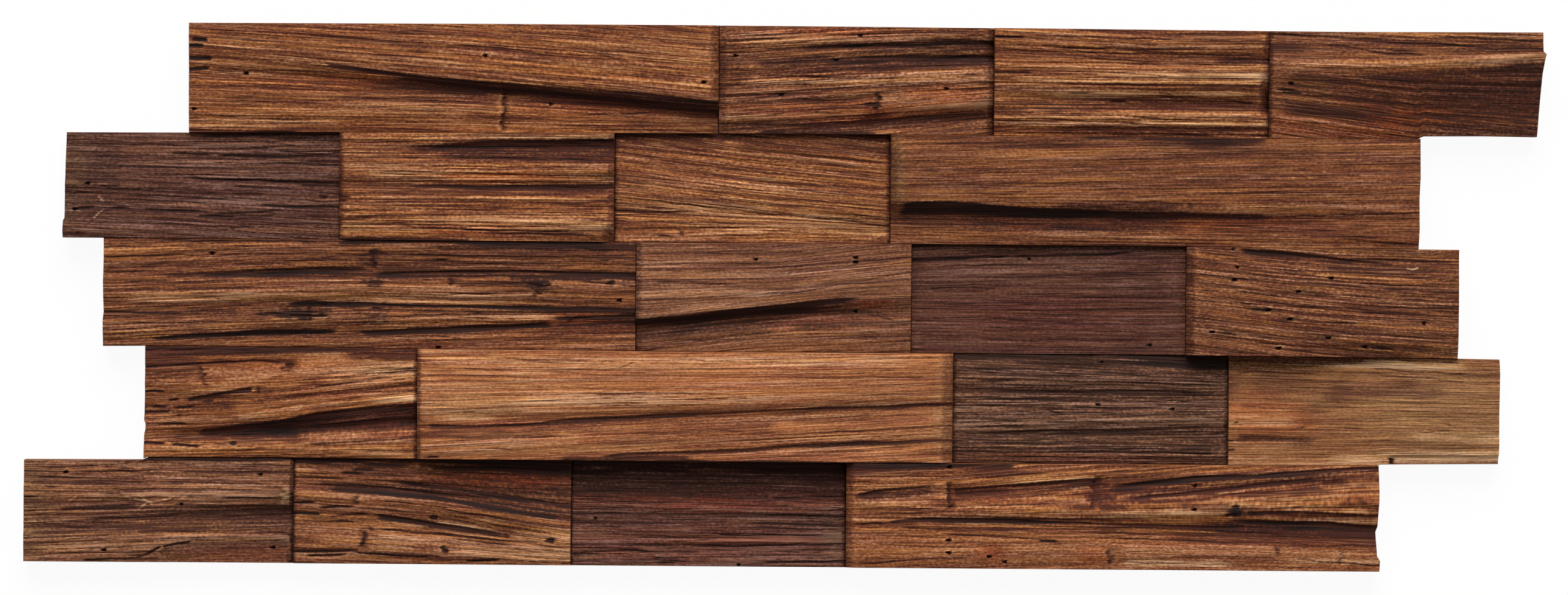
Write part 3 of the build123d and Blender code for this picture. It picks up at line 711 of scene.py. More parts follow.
def split_row_3_long_block(face):
    face.left_end((0, 1.2), (10, 1.2), (13, 0.9), (24, 1.2), (34, 0.9), (40, 1.1))
    # Painted shadow along the top edge, cast by the row above, and a painted shadow line at the joint
    face.shade([(84, 40), (112, 40), (140, 40), (190, 40)], 1, (1.2, 2.4, 4.2, 3.6), 0.97, 6)
    face.crack([(18, 39.2), (82, 39.2)], 0.8, 0.5, 0.95, 8)
    face.hollow([(16, 25.4), (40, 27), (62, 28.4), (90, 29.6), (101, 29.8)], (0.3, 0.9, 1.1), 0.8,
                (1.3, 2.6, 2.8), 0.6, 10)
    face.shade([(30, 25.6), (44, 26.4), (62, 27.6), (90, 29), (100, 29.2)], 0.5, (0.5, 0.9, 1.1), 1.0, 8)
    face.hollow([(99, 27.2), (130, 28.6), (160, 28.8), (197, 28.2)], (1.0, 1.0, 0.7), 0.7, (2.4, 2.0), 1.0, 4)
    face.hollow([(66, 15.8), (78, 16.9), (110, 16), (160, 15.5), (197, 15.4)], (0.6, 0.9, 0.6), 0.6,
                (2.2, 1.6), 1.0, 6)
    face.hollow([(14, 2.4), (32, 3.9), (60, 5.7), (88, 6.6)], (0.5, 0.9, 1.0), 0.7, (1.8, 2.6), 1.05, 8)
    face.hollow([(92, 5.8), (120, 7.4), (150, 8.8), (168, 9.6)], (0.7, 0.9), 0.7, 2.0, 1.0, 6)
    face.hollow([(164, 11.2), (182, 12.4), (197, 12.9)], (0.6, 1.3), 0.9, (2.4, 4.4), 0.85, 7)
    face.redden(180, 11, 22, 4, 0.9)
    face.cracks(0.9, 1.0, 1.0, 3, [(58, 12.6), (69, 12.2)], [(64, 13.4), (80, 13)], [(66, 11.6), (84, 11.8)],
                [(54, 12), (62, 11.6)], [(78, 15.6), (84, 15.4)], [(97, 14.8), (104, 15)],
                [(121, 33.2), (128, 33)], [(184, 25), (190, 24.6)])
    face.crack([(0, 12.4), (18, 12.2), (36, 11.4)], 1.0, 0.7, 0.9, 8)
    face.dark_spot(70, 12.8, 15, 2.8, 0.85)
    face.dark_spot(40, 12.6, 16, 1.8, 0.5)
    face.redden(68, 12.6, 22, 4, -0.5)
    face.tear(75.6, 9.4, 16.4, 0.7, 5, 1.0)
    face.tear(100, 28.6, 36, 0.9, -6, 1.0)
    face.dark_spot(100.5, 35, 3.2, 2.0, 0.97)
    face.dark_spot(96, 32.6, 5, 2.4, 0.5)
    face.dark_spot(99.6, 24.4, 4.4, 2.2, 0.75)
    face.pale_spot(100, 25.4, 1.6, 0.9, 1.0)
    face.dark_spot(101, 11, 5, 3.4, 0.5)
    face.plate([(100, 9), (103.4, 9.4)], [(100, 13), (103.4, 13.6)], 0.4, 0.8, 0.8, 0.8, 0.7)
    face.cracks(0.7, 0.5, 0.8, 4, [(46, 30.4), (72, 30.8)], [(129, 23), (158, 24.8)],
                [(176, 25.4), (197, 23.8)], [(88, 6.4), (91, 3.6)])
    face.tear(127.4, 23, 27.6, 0.8, 8, 0.9)
    face.dark_spot(161, 24.2, 6, 2.6, 0.75)
    face.redden(161, 24, 9, 4, -0.6)
    face.cracks(0.9, 0.8, 1.0, 1.5, [(156, 24.6), (163, 23.6)], [(159, 23), (166, 24.4)],
                [(160, 21.6), (163, 20.4)])
    face.tear(159.6, 19, 22.4, 0.5, 5, 0.8)
    face.knot(187.6, 24.8, 2.0, 1.2, 0.7, 0.95)
    face.pits(0.6, 1.3, (191, 18.7), (123.4, 0.6), (39.4, 34.6))
    face.tear(171, 9.6, 13.4, 0.7, 16, 0.6, 1.2)
    face.cracks(0.6, 0.5, 0.65, 10, [(105, 34.4), (150, 34.6), (197, 34)], [(0, 33), (50, 34.5), (94, 35)],
                [(0, 27.4), (20, 27.8)], [(14, 23.4), (60, 24.6)], [(4, 20.4), (60, 22)],
                [(110, 31), (180, 31.4)], [(104, 20), (150, 20.6)], [(110, 12.6), (160, 13)],
                [(0, 36.6), (60, 37.4)], [(4, 8), (50, 9.4)])
    face.pale_band([(0, 5), (26, 8)], 8, 6, 0.4)
    face.pale_band([(104, 23), (160, 24.6)], 2.6, 3, 0.3)
    face.pale_band([(104, 10.6), (160, 12)], 1.4, 1.6, 0.3)
    face.dark_spot(102, 14.2, 5, 1.8, 0.6)
    # Painted shadow at the top right corner
    face.shade([(184, 40), (197, 40)], 1, 3, 0.8, 4)
    face.crest([(4, 19.2), (80, 19.4), (160, 19)], 0.4, 3.4, 1.4, 0.0, 14)
    face.shade([(96, 16), (118, 15.6)], 1.0, 1.2, 0.97, 5)
    face.dark_spot(158, 25.6, 5, 1.8, 0.7)
    face.dark_spot(105, 16, 9, 1.3, 0.9)
    face.dark_spot(156, 26.6, 7, 1.5, 0.8)
    # Among these streaks, the dark one under the top edge is painted shadow
    face.tone_and_lighting_streaks((96, 29.4, 128, 29.4, 1.4, -0.25), (128, 26.8, 162, 26.8, 1.2, -0.4),
               (96, 15.6, 116, 15.4, 1.2, -0.4), (92, 30.6, 130, 31, 1.6, -0.3),
               (126, 23.8, 160, 24.4, 1.2, -0.3), (0, 35.4, 62, 35.6, 1.4, 0.25),
               (0, 29.8, 17, 29.8, 1.4, 0.45), (0, 24, 26, 24, 1.4, -0.45), (85, 35.4, 197, 34.6, 1.8, -0.5),
               (92, 28.3, 125, 28.3, 1.4, -0.3), (122, 24.6, 160, 24.6, 1.4, -0.5),
               (176, 22.3, 197, 22.3, 1.4, -0.35), (4, 17.8, 160, 18.2, 1.6, 0.65),
               (0, 11.4, 32, 11.2, 1.4, -0.5), (48, 11.2, 68, 11.2, 1.2, -0.3), (93, 9.2, 145, 9.4, 1.4, 0.4),
               (149, 13, 170, 13, 1.4, 0.3), (96, 16.6, 146, 16.2, 1.0, -0.6), (130, 12, 185, 11, 1.6, 0.4),
               (100, 25, 135, 27, 1.6, -0.3))
    face.fibres(0.28, 0.13, 0.6, 0.2, 0.0, 1.4)


def split_row_3_block_2(face):
    brow = [(0, 11), (20, 12.6), (40, 15.2), (60, 17.7), (72, 19), (86, 19.6)]
    face.hollow(brow, (0.8, 1.2, 1.2, 0.5), 0.8, (4.8, 6.8, 6.4, 5.6, 2.6), 1.08, 12)
    face.shade([(u, v - 4.5) for u, v in brow], 2, 2.6, 0.55, 10)
    face.redden(60, 12, 40, 5, 0.6)
    face.redden(86, 18, 12, 3, 0.8)
    face.crack([(80, 15.4), (97, 11.6)], 0.6, 0.4, 0.75, 3)
    face.crack([(4, 25.4), (20, 25.4), (40, 24.4)], 0.8, 0.4, 0.7, 8)
    face.cracks(0.5, 0.3, 0.5, 12, [(0, 18.5), (60, 22), (101, 30)], [(30, 5), (70, 7), (101, 8)],
                [(40, 22), (101, 27)], [(4, 32), (60, 33)], [(6, 36.4), (70, 37)], [(10, 4), (60, 5)],
                [(40, 30), (101, 35)], [(84, 14.4), (101, 13)], [(60, 2), (101, 4.6)], [(70, 5), (101, 6.6)],
                [(0, 29.4), (40, 29.6)])
    face.pits(0.55, 1.4, (44, 34), (80.4, 33.2), (80.6, 34.8), (80.6, 15.3))
    face.pale_band([(10, 14.6), (60, 20)], 2.0, 1.2, 0.25)
    face.worn_left(2.6, 1.0, stain_and_shade=0.45)
    face.tone_and_lighting_streaks((0, 28.4, 101, 28.4, 1.4, 0.2), (0, 21, 55, 21.4, 1.6, 0.4), (54, 23.8, 101, 24, 1.4, 0.25),
               (0, 4.2, 54, 8, 1.8, -0.45), (54, 9.4, 101, 10.8, 1.8, -0.5), (66, 3, 101, 3, 1.4, 0.2))
    face.fibres(0.11, 0.08, 0.2, stretch=2.6)


def split_row_3_block_3(face):
    face.crack([(0, 34), (20, 35), (37, 35.9)], (2.0, 1.6, 0.9), 1.2, 1.1, 4)
    face.crack([(34, 35.4), (58, 36.4), (84, 37.8)], (1.0, 1.5, 0.8), 1.0, 1.1, 8)
    face.crack([(55, 31.5), (75, 32.2)], 0.4, 0.3, 0.7)
    for v0, v1, u0, u1 in ((29, 30, 48, 88), (25, 25.4, 4, 50), (23.7, 24.2, 3, 22), (18.2, 19.4, 0, 100),
                           (8.3, 8.6, 20, 88), (20.8, 21.2, 52, 98), (14.4, 14.8, 30, 70), (5.2, 5, 22, 70),
                           (27.6, 28.4, 12, 60), (11, 11.4, 40, 96), (32, 33, 8, 44), (22, 22.6, 30, 70),
                           (16.4, 17, 54, 100)):
        face.crack([(u0, v0), (u1, v1)], 0.5, 0.35, 0.62, 10)
    face.pits(0.5, 1.2, (87.8, 3.6), (43.4, 35))
    face.pale_spot(43.3, 33.9, 0.7, 0.6, 1.0)
    face.pale_band([(84, 5), (101, 5)], 1.6, 2, 0.4, 6)
    face.pale_band([(90, 29), (101, 29)], 5, 12, 0.3, 6)
    face.pale_band([(0, 6), (5, 6)], 3, 4, 0.35, 3)
    face.redden(50, 14, 60, 14, 0.4)
    # Painted shadow along the top edge, cast by the row above
    face.shade([(0, 40), (101, 40)], 1, 2.0, 0.5)
    face.tone_and_lighting_streaks((30, 32, 101, 32, 1.6, -0.15), (43, 24.6, 101, 24.6, 1.6, -0.2), (2, 3.8, 86, 3.8, 1.4, 0.15))
    face.fibres(0.11, 0.09, 0.4, stretch=2.2)


def split_row_3_block_4(face):
    face.hollow([(18, 39), (30, 38.6), (45, 37), (60, 35.4), (80, 33.6)], (0.7, 1.1, 0.8, 0.3), 0.6,
                (1.4, 1.8, 1.2, 0.8), 1.0, 5)
    face.cracks(0.8, 0.6, 0.9, 6, [(46, 35.4), (66, 34)], [(36, 24.3), (52, 23.2), (70, 22), (92, 21.2)],
                [(70, 25.5), (101, 24.2)], [(38, 13.6), (50, 13), (66, 12)], [(9, 8.7), (20, 7.4)],
                [(66, 4), (80, 3)], [(20, 17.6), (34, 17)], [(34, 2.8), (50, 2.2)])
    face.cracks(0.6, 0.5, 0.7, 8, [(70, 18.6), (101, 18)], [(62, 31.4), (101, 30)], [(58, 36), (100, 35.6)],
                [(12, 29), (30, 27.6)], [(60, 27.4), (96, 26.2)], [(62, 16.6), (101, 15.4)],
                [(20, 33), (54, 30.6)], [(16, 24), (40, 21.6)], [(50, 9.4), (92, 7.6)],
                [(14, 20), (50, 17.8)], [(54, 18.8), (80, 16.6)], [(20, 5), (60, 3.4)])
    face.pits(0.55, 1.5, (17, 39.4), (18.5, 32.8), (17.5, 28), (53.5, 29), (41.2, 24), (30, 17.1),
              (38.3, 13.8), (9.5, 8.8), (52.6, 7.1), (66.2, 4), (34.3, 3), (88, 12.9))
    for u, v, half_long in ((43, 24.1, 8), (29, 17.2, 7), (40, 13.8, 6), (52, 7.2, 7), (71, 3.8, 7),
                            (16, 28, 4), (14, 8.2, 6)):
        face.dark_spot(u, v, half_long, 1.0, 0.5)
        face.redden(u, v, half_long, 1.6, -0.6)
    face.straw((81.6, 33), (83.4, 32.4), (85.6, 33.2), width=0.5)
    face.shade([(0, 20), (101, 20)], 40, 40, 0.1)
    face.worn_left(3.6, 1.3, stain_and_shade=0.4)
    face.crest([(40, 0), (101, 0)], -2.0, 7, 2, 0.0, 24)
    face.tone_and_lighting_streaks((16, 36.8, 50, 36.4, 1.4, -0.2), (46, 32.4, 94, 31.8, 2, -0.6), (4, 24.4, 24, 24.4, 1.4, 0.35),
               (20, 26.4, 56, 22.6, 1.4, -0.4), (55, 19.8, 98, 17, 1.4, -0.3),
               (53, 13.2, 80, 13.2, 1.2, 0.35), (7, 6.4, 22, 6.4, 1.6, -0.45), (78, 2, 101, 2, 1.6, 0.5))
    face.fibres(0.16, 0.14, 0.5, stretch=1.8)


def split_row_4_block_1(face):
    face.left_end((0, 0.8), (9, 0.7), (11, 0.1), (12.6, 0.1), (14, 0.6), (26, 0.3), (40, 0.5))
    face.hollow([(15, 9), (30, 11), (45, 12.8), (60, 15.4), (72, 17.4), (86, 18.3), (101, 19.6)],
                (0.4, 1.3, 1.7, 1.6, 1.6), 0.9, (2, 4.0, 6.4, 8.6, 8.4), 0.9, 8)
    face.shade([(24, 9.6), (44, 10.4), (60, 11.2)], 1.4, 2.2, 1.0, 8)
    face.shade([(56, 13.6), (80, 15.4), (101, 16.6)], (2, 3.4), (3.4, 5), 0.85, 18)
    face.redden(84, 15, 22, 4, 0.8)
    face.crest([(62, 12.6), (82, 14.4), (101, 16)], 0.5, 1.0, 1.4, 0.0)
    face.straw((79, 38.4), (82.4, 35.2), pale_and_highlight=0.8)
    face.straw((79.6, 36), (84, 37.6), pale_and_highlight=0.8)
    face.plate([(23, 25.6), (40, 26.6), (52, 30.6)], [(23, 33.2), (40, 34.6), (52, 33.8)], 0.6, 1.6, 0.8,
               0.75, 0.5)
    face.plate([(54, 29.4), (74, 31.4), (97, 34.4)], [(54, 37.6), (74, 38.4), (97, 38.4)], 0.4, 3, 2, 0.7,
               0.5)
    face.crack([(0, 32.6), (20, 34), (40, 35.2), (51, 34.4)], 0.9, 1.1, 1.0, 2)
    face.crack([(0, 29.6), (12, 30.9), (19, 30.9)], 0.8, 0.9, 0.9, 3)
    face.tear(52.6, 31.6, 34.8, 0.8, 5, 0.9, -0.4)
    face.tear(23, 25.8, 33.6, 0.7, -6, 0.7, -0.3)
    face.hollow([(14, 20.5), (25, 22.6), (41, 25.4)], 0.9, 0.6, 1.5, 0.95, 3)
    face.tear(41.6, 23, 26.4, 0.7, 4, 0.9)
    face.hollow([(38, 20.8), (55, 22.2), (70, 24.4), (86, 26.2), (101, 27.6)], 0.5, 0.6, 1.0, 0.5, 6)
    face.cracks(0.7, 0.6, 0.75, 6, [(60, 25.4), (75, 27.4), (90, 29.4)],
                [(55, 28.4), (80, 30.2), (101, 32.4)], [(60, 5.4), (80, 6.8), (101, 8.2)],
                [(64, 23), (84, 24.4), (101, 25)])
    face.cracks(1.1, 0.9, 1.0, 2, [(0, 23.7), (8, 23.8)], [(0, 12.1), (16, 12.3)], [(0, 5.6), (8, 5.4)],
                [(9, 4.9), (21, 4.7)], [(8, 21), (13, 21.2)], [(2, 18.4), (9, 18.6)], [(10, 18), (19, 18.8)],
                [(11, 15.4), (14, 15.2)], [(20, 20), (26, 20.6)], [(0, 16.6), (10, 16.8)])
    face.shade([(0, 18.4), (20, 19), (36, 20.6)], 1.4, 2.4, 0.5, 8)
    face.shade([(0, 29), (20, 30)], 1.4, 2, 0.4, 8)
    face.plate([(34, 13.6), (50, 15.6), (60, 18)], [(34, 15.8), (50, 18.2), (60, 20.4)], 0.5, 2, 2, 0.3, 0.4)
    face.crest([(60, 19.6), (82, 21.4), (101, 23)], 0.4, 1.6, 1.6, 0.3)
    face.knot(32.6, 5.6, 1.4, 0.8, 0.5, 0.9)
    face.pale_band([(0, 2.8), (60, 3.2), (101, 4)], 3, 3.4, 0.35)
    face.pale_band([(40, 7), (101, 10)], 1.4, 2, 0.25)
    # Painted shadow along the top edge, cast by the row above
    face.shade([(0, 40), (78, 40), (101, 40)], 1, (2.4, 2.2, 1.0), 0.97, 2)
    face.worn_right(1.4, 0.8, stain_and_shade=0.5)
    face.tone_and_lighting_streaks((78, 21.2, 101, 21.8, 1.2, 0.3), (30, 7, 64, 7.4, 1.4, -0.3), (74, 36.4, 101, 36.4, 1.4, 0.4),
               (74, 26, 99, 27.4, 1.8, 0.3), (82, 21.8, 101, 22, 1.4, 0.35), (72, 29.4, 101, 33, 3.4, 0.25),
               (0, 34.4, 24, 33, 3.4, -0.6), (20, 34, 62, 35.4, 2.4, -0.35), (72, 37.6, 101, 37.6, 1.4, -0.6),
               (2, 21.8, 64, 28, 1.6, 0.3), (62, 26.4, 101, 32.4, 3.6, 0.6), (76, 22.8, 101, 23.4, 2, 0.6),
               (7, 19.4, 42, 19.4, 1.4, -0.35), (42, 16.4, 78, 19, 1.2, -0.35), (0, 17, 7, 17, 1.4, 0.4),
               (5, 7.4, 64, 7.2, 1.6, -0.6), (76, 8.8, 101, 9.8, 1.4, -0.4), (70, 3.4, 98, 3.4, 1.6, 0.25),
               (0, 37.4, 20, 37.4, 1.6, -0.5), (70, 37.6, 101, 37.6, 1.4, -0.5), (18, 29, 32, 28, 1.6, -0.4),
               (50, 14.6, 101, 19.5, 1.0, -0.4), (2, 15, 14, 15, 5.0, 0.3))
    face.redden(80, 26, 24, 7, 0.6)
    face.fibres(0.26, 0.12, 0.5, 0.3, 0.24, 1.2)


def split_row_4_long_block(face):
    face.hollow([(2, 12.2), (20, 12.2), (40, 13.3), (52, 14.8), (70, 16.2), (100, 17.7), (130, 19),
                 (160, 20.4), (197, 22)], (0.7, 0.8, 0.9, 0.8, 0.4), 0.7, (1.3, 1.8, 1.4, 1.0), 0.88, 5)
    face.shade([(30, 12), (100, 15.6), (180, 19)], 1, 2.4, 0.4, 20)
    face.hollow([(66, 1.2), (76, 2.8), (100, 3.9), (122, 5), (140, 6.8), (160, 7.9), (197, 9.4)],
                (0.5, 0.9, 0.5, 0.3), 0.6, (1.5, 1.2, 0.9), 0.92, 6)
    face.cracks(0.7, 0.5, 0.7, 8, [(0, 30.4), (20, 30.4), (48, 30.2)], [(10, 8.4), (28, 8.6), (60, 9.4)],
                [(60, 9.8), (124, 12)], [(138, 4.2), (168, 5)])
    face.cracks(0.5, 0.4, 0.55, 10, [(44, 32.4), (68, 31.8)], [(74, 32.8), (95, 31.4)],
                [(95, 37), (140, 36.2)], [(100, 31.2), (150, 31), (190, 31.6)], [(150, 24), (190, 26.6)],
                [(120, 9.8), (197, 14.2)], [(10, 33.4), (40, 32.6)], [(60, 24.6), (120, 25)],
                [(20, 26.4), (70, 27.6)], [(120, 15.8), (190, 18.4)], [(8, 17), (40, 18)],
                [(20, 4.4), (64, 5.4)], [(130, 28), (186, 29)], [(20, 37), (80, 36)])
    face.crack([(74, 33.2), (80, 36.6)], 0.4, 0.3, 0.6, 1)
    face.crack([(3, 0.8), (9, 0.9)], 1.0, 0.5, 1.0, 2)
    face.redden(22, 20, 30, 6, -0.5)
    face.redden(120, 26, 60, 8, 0.3)
    face.redden(194, 20, 6, 22, -0.6)
    face.shade([(0, 13), (8, 12.6)], 3, 6, 0.4, 6)
    # Painted shadow in the joint along the bottom edge
    face.shade([(40, 0), (80, 0), (197, 0)], (0.4, 0.9, 0.5), 1, 0.97, 12)
    face.pale_band([(0, 22), (80, 24), (190, 36)], 12, 10, 0.2)
    face.worn_left(1.8, 0.9, stain_and_shade=0.5)
    face.worn_right(5, 1.5, stain_and_shade=0.35)
    face.shade([(48, 0.4), (64, 0.8), (80, 1.6), (104, 1.6)], 0.9, 1.6, 0.9, 8)
    face.tone_and_lighting_streaks((2, 36.4, 184, 37, 1.6, 0.3), (18, 36.4, 36, 36.4, 1.4, 0.2), (3, 30.3, 36, 30.3, 1.4, -0.3),
               (34, 21.2, 135, 24.4, 2.4, 0.35), (5, 15.8, 32, 15.8, 1.4, 0.6), (0, 9.4, 54, 9.4, 2, -0.65),
               (52, 10, 135, 12.8, 1.8, -0.35), (135, 14.8, 192, 17.4, 1.4, -0.3),
               (135, 21.2, 195, 21.8, 1.2, 0.35), (5, 3.6, 100, 6, 1.6, 0.2),
               (130, 10.4, 170, 10.8, 1.2, 0.2), (180, 4.8, 197, 4.8, 2, -0.5),
               (168, 30.6, 197, 30.6, 1.6, -0.25))
    face.fibres(0.12, 0.1, 0.3, stretch=2.6)


def split_row_4_block_3(face):
    # Painted shadow along the top edge, cast by the row above
    face.shade([(52, 41), (80, 40), (92, 39), (101, 38)], 6, (2, 4.4, 5.4), 1.0, 12)
    face.shade([(0, 40), (60, 40)], 1, 1.6, 0.8)
    face.hollow([(14, 27), (50, 26.8), (62, 26.9), (98, 26.2)], 0.4, 0.7, 1.3, 0.68, 8)
    face.hollow([(8, 11.4), (40, 12.4), (62, 12.8), (98, 14)], (0.4, 0.6, 0.5), 0.7, 1.8, 0.72, 8)
    face.cracks(0.8, 0.5, 0.85, 6, [(4, 34.8), (40, 34.4)], [(52, 27.4), (80, 27)],
                [(8, 24.2), (30, 23.6), (62, 23.6)], [(17, 19.8), (34, 19.6)], [(0, 17), (28, 16)],
                [(28, 11.2), (54, 11.4)], [(9, 33), (20, 33.2)], [(8, 30.2), (26, 30.4)],
                [(14, 8), (42, 7.6)], [(0, 6.4), (101, 6.2)], [(0, 5), (60, 5.2), (98, 4.8)],
                [(50, 33.6), (76, 32.6)])
    face.cracks(0.5, 0.4, 0.65, 8, [(20, 3), (90, 2.8)], [(40, 9.6), (98, 9.4)], [(10, 28.8), (60, 29)],
                [(60, 30), (98, 29.2)], [(4, 14), (30, 14.4)], [(40, 21), (96, 20.6)], [(40, 25), (90, 24.8)],
                [(4, 21.4), (26, 21.6)], [(20, 36.6), (60, 36.2)], [(50, 18.4), (98, 18.8)])
    face.crest([(36, 16.4), (98, 17)], 0.4, 1.2, 1.2, 0.75)
    face.pale_band([(20, 18.4), (62, 18.4)], 0.8, 0.8, 0.45)
    face.pale_band([(24, 22.4), (64, 22.4)], 0.8, 0.8, 0.35)
    face.pale_spot(50.4, 10, 2.2, 0.7, 0.9)
    face.redden(30, 8.6, 14, 2, -0.7)
    face.redden(40, 3, 60, 4, 0.5)
    face.pits(0.5, 1.2, (53.4, 22.1), (80.6, 20.6), (54.6, 37.3))
    face.worn_left(1.4, 0.6, stain_and_shade=0.4)
    face.worn_right(1.6, 0.8, stain_and_shade=0.3)
    face.tone_and_lighting_streaks((0, 37.8, 68, 37.8, 1.8, -0.35), (19, 29.8, 46, 29.8, 1.4, 0.3),
               (64, 28.8, 101, 28.8, 1.6, 0.4), (42, 22.4, 76, 22.4, 1.2, -0.3),
               (0, 20.6, 60, 20.6, 1.2, 0.25), (0, 15.4, 101, 15.6, 1.4, 0.55), (34, 9.4, 80, 9.6, 1.8, -0.6),
               (76, 9.6, 101, 9.6, 1.6, -0.35))
    face.fibres(0.2, 0.13, 0.6, stretch=1.6)


def split_row_4_block_4(face):
    face.right_end((0, 0.5), (6, 0.8), (20, 0.7), (34, 0.9), (40, 0.6))
    # Painted shadow along the top edge, cast by the block above
    face.shade([(0, 40), (30, 40), (64, 40)], 1, (3.4, 2.6, 0.8), 0.6, 4)
    face.shade([(0, 36.4), (50, 36.4)], 2, 3, 0.4, 26)
    face.crack([(1, 34), (10, 34.4), (26, 34.2)], 0.9, 0.6, 0.95, 5)
    face.cracks(0.6, 0.5, 0.7, 4, [(20, 33.8), (34, 33.6)], [(56, 33.2), (70, 32.8), (90, 31)],
                [(62, 39.6), (68, 38.9), (88, 38.3)], [(93, 36.2), (100, 35.6)], [(24, 14), (31, 14.4)],
                [(79, 15.8), (86, 14)], [(40, 14), (52, 13.6)], [(4, 21.6), (30, 21)], [(52, 36), (90, 34)])
    face.crack([(36.4, 33), (36.8, 34.8)], 0.6, 0.6, 0.9, 0.6)
    face.hollow([(1, 10.6), (18, 10), (34, 8.8)], 0.5, 1.2, 1.4, 0.62, 6)
    face.dark_spot(27, 9.2, 7, 1.8, 0.55)
    face.dark_spot(58, 9, 7, 1.2, 0.35)
    face.shade([(2, 25), (30, 26)], 3, 4, 0.2, 14)
    face.redden(14, 18, 26, 12, 0.7)
    face.redden(80, 18, 40, 26, -0.55)
    face.redden(40, 26, 30, 8, -0.3)
    face.pale_band([(0, 17), (14, 17.4), (30, 16.4)], 2.0, 2.0, 0.7, 8)
    face.pale_band([(0, 3.8), (30, 4)], 1, 1, 0.4, 8)
    face.pale_band([(0, 1), (30, 1.4), (58, 1.6)], 1.2, 1.4, 0.6, 4)
    face.pale_band([(90, 6), (101, 10)], 3, 3, 0.3, 6)
    face.plate([(61, -3), (101, -3)], [(61, 3.4), (101, 3.2)], -1.0, 0.5, 1, 0.6, 0.35)
    face.pale_band([(61, 3), (80, 3), (101, 2.8)], 0.7, 2.6, 0.6, 0.8)
    face.tear(61.4, -2, 3.4, 0.8, -2, 1.2)
    face.cracks(0.8, 0.6, 0.9, 1, [(0, 6.4), (3, 6.2)], [(0, 9.4), (2.4, 9.6)], [(2, 15.8), (4, 16.2)])
    face.crest([(46, 40), (101, 40)], 1.1, 2, 14, 0.0, 20)
    # Among these streaks, the light one along the top edge is painted light against the shadow of the block
    # above
    face.tone_and_lighting_streaks((66, 31, 84, 30, 1.8, 0.3), (8, 33, 64, 33, 1.4, -0.3), (0, 37.6, 36, 37.8, 1.4, 0.25),
               (33, 37.8, 92, 37.8, 1.8, 0.6), (0, 27.6, 8, 27.6, 3, -0.5), (4, 30, 48, 27, 4, -0.35),
               (34, 27.8, 84, 27.8, 4, -0.55), (24, 21.4, 50, 21.4, 1.8, -0.4), (12, 20, 26, 20, 1.4, 0.35),
               (0, 15.6, 28, 15.6, 1.4, 0.4), (34, 3.2, 101, 3, 1.8, 0.5), (64, 10.4, 101, 10.6, 2.4, 0.4))
    face.fibres(0.12, 0.1, 0.28, stretch=2.2)


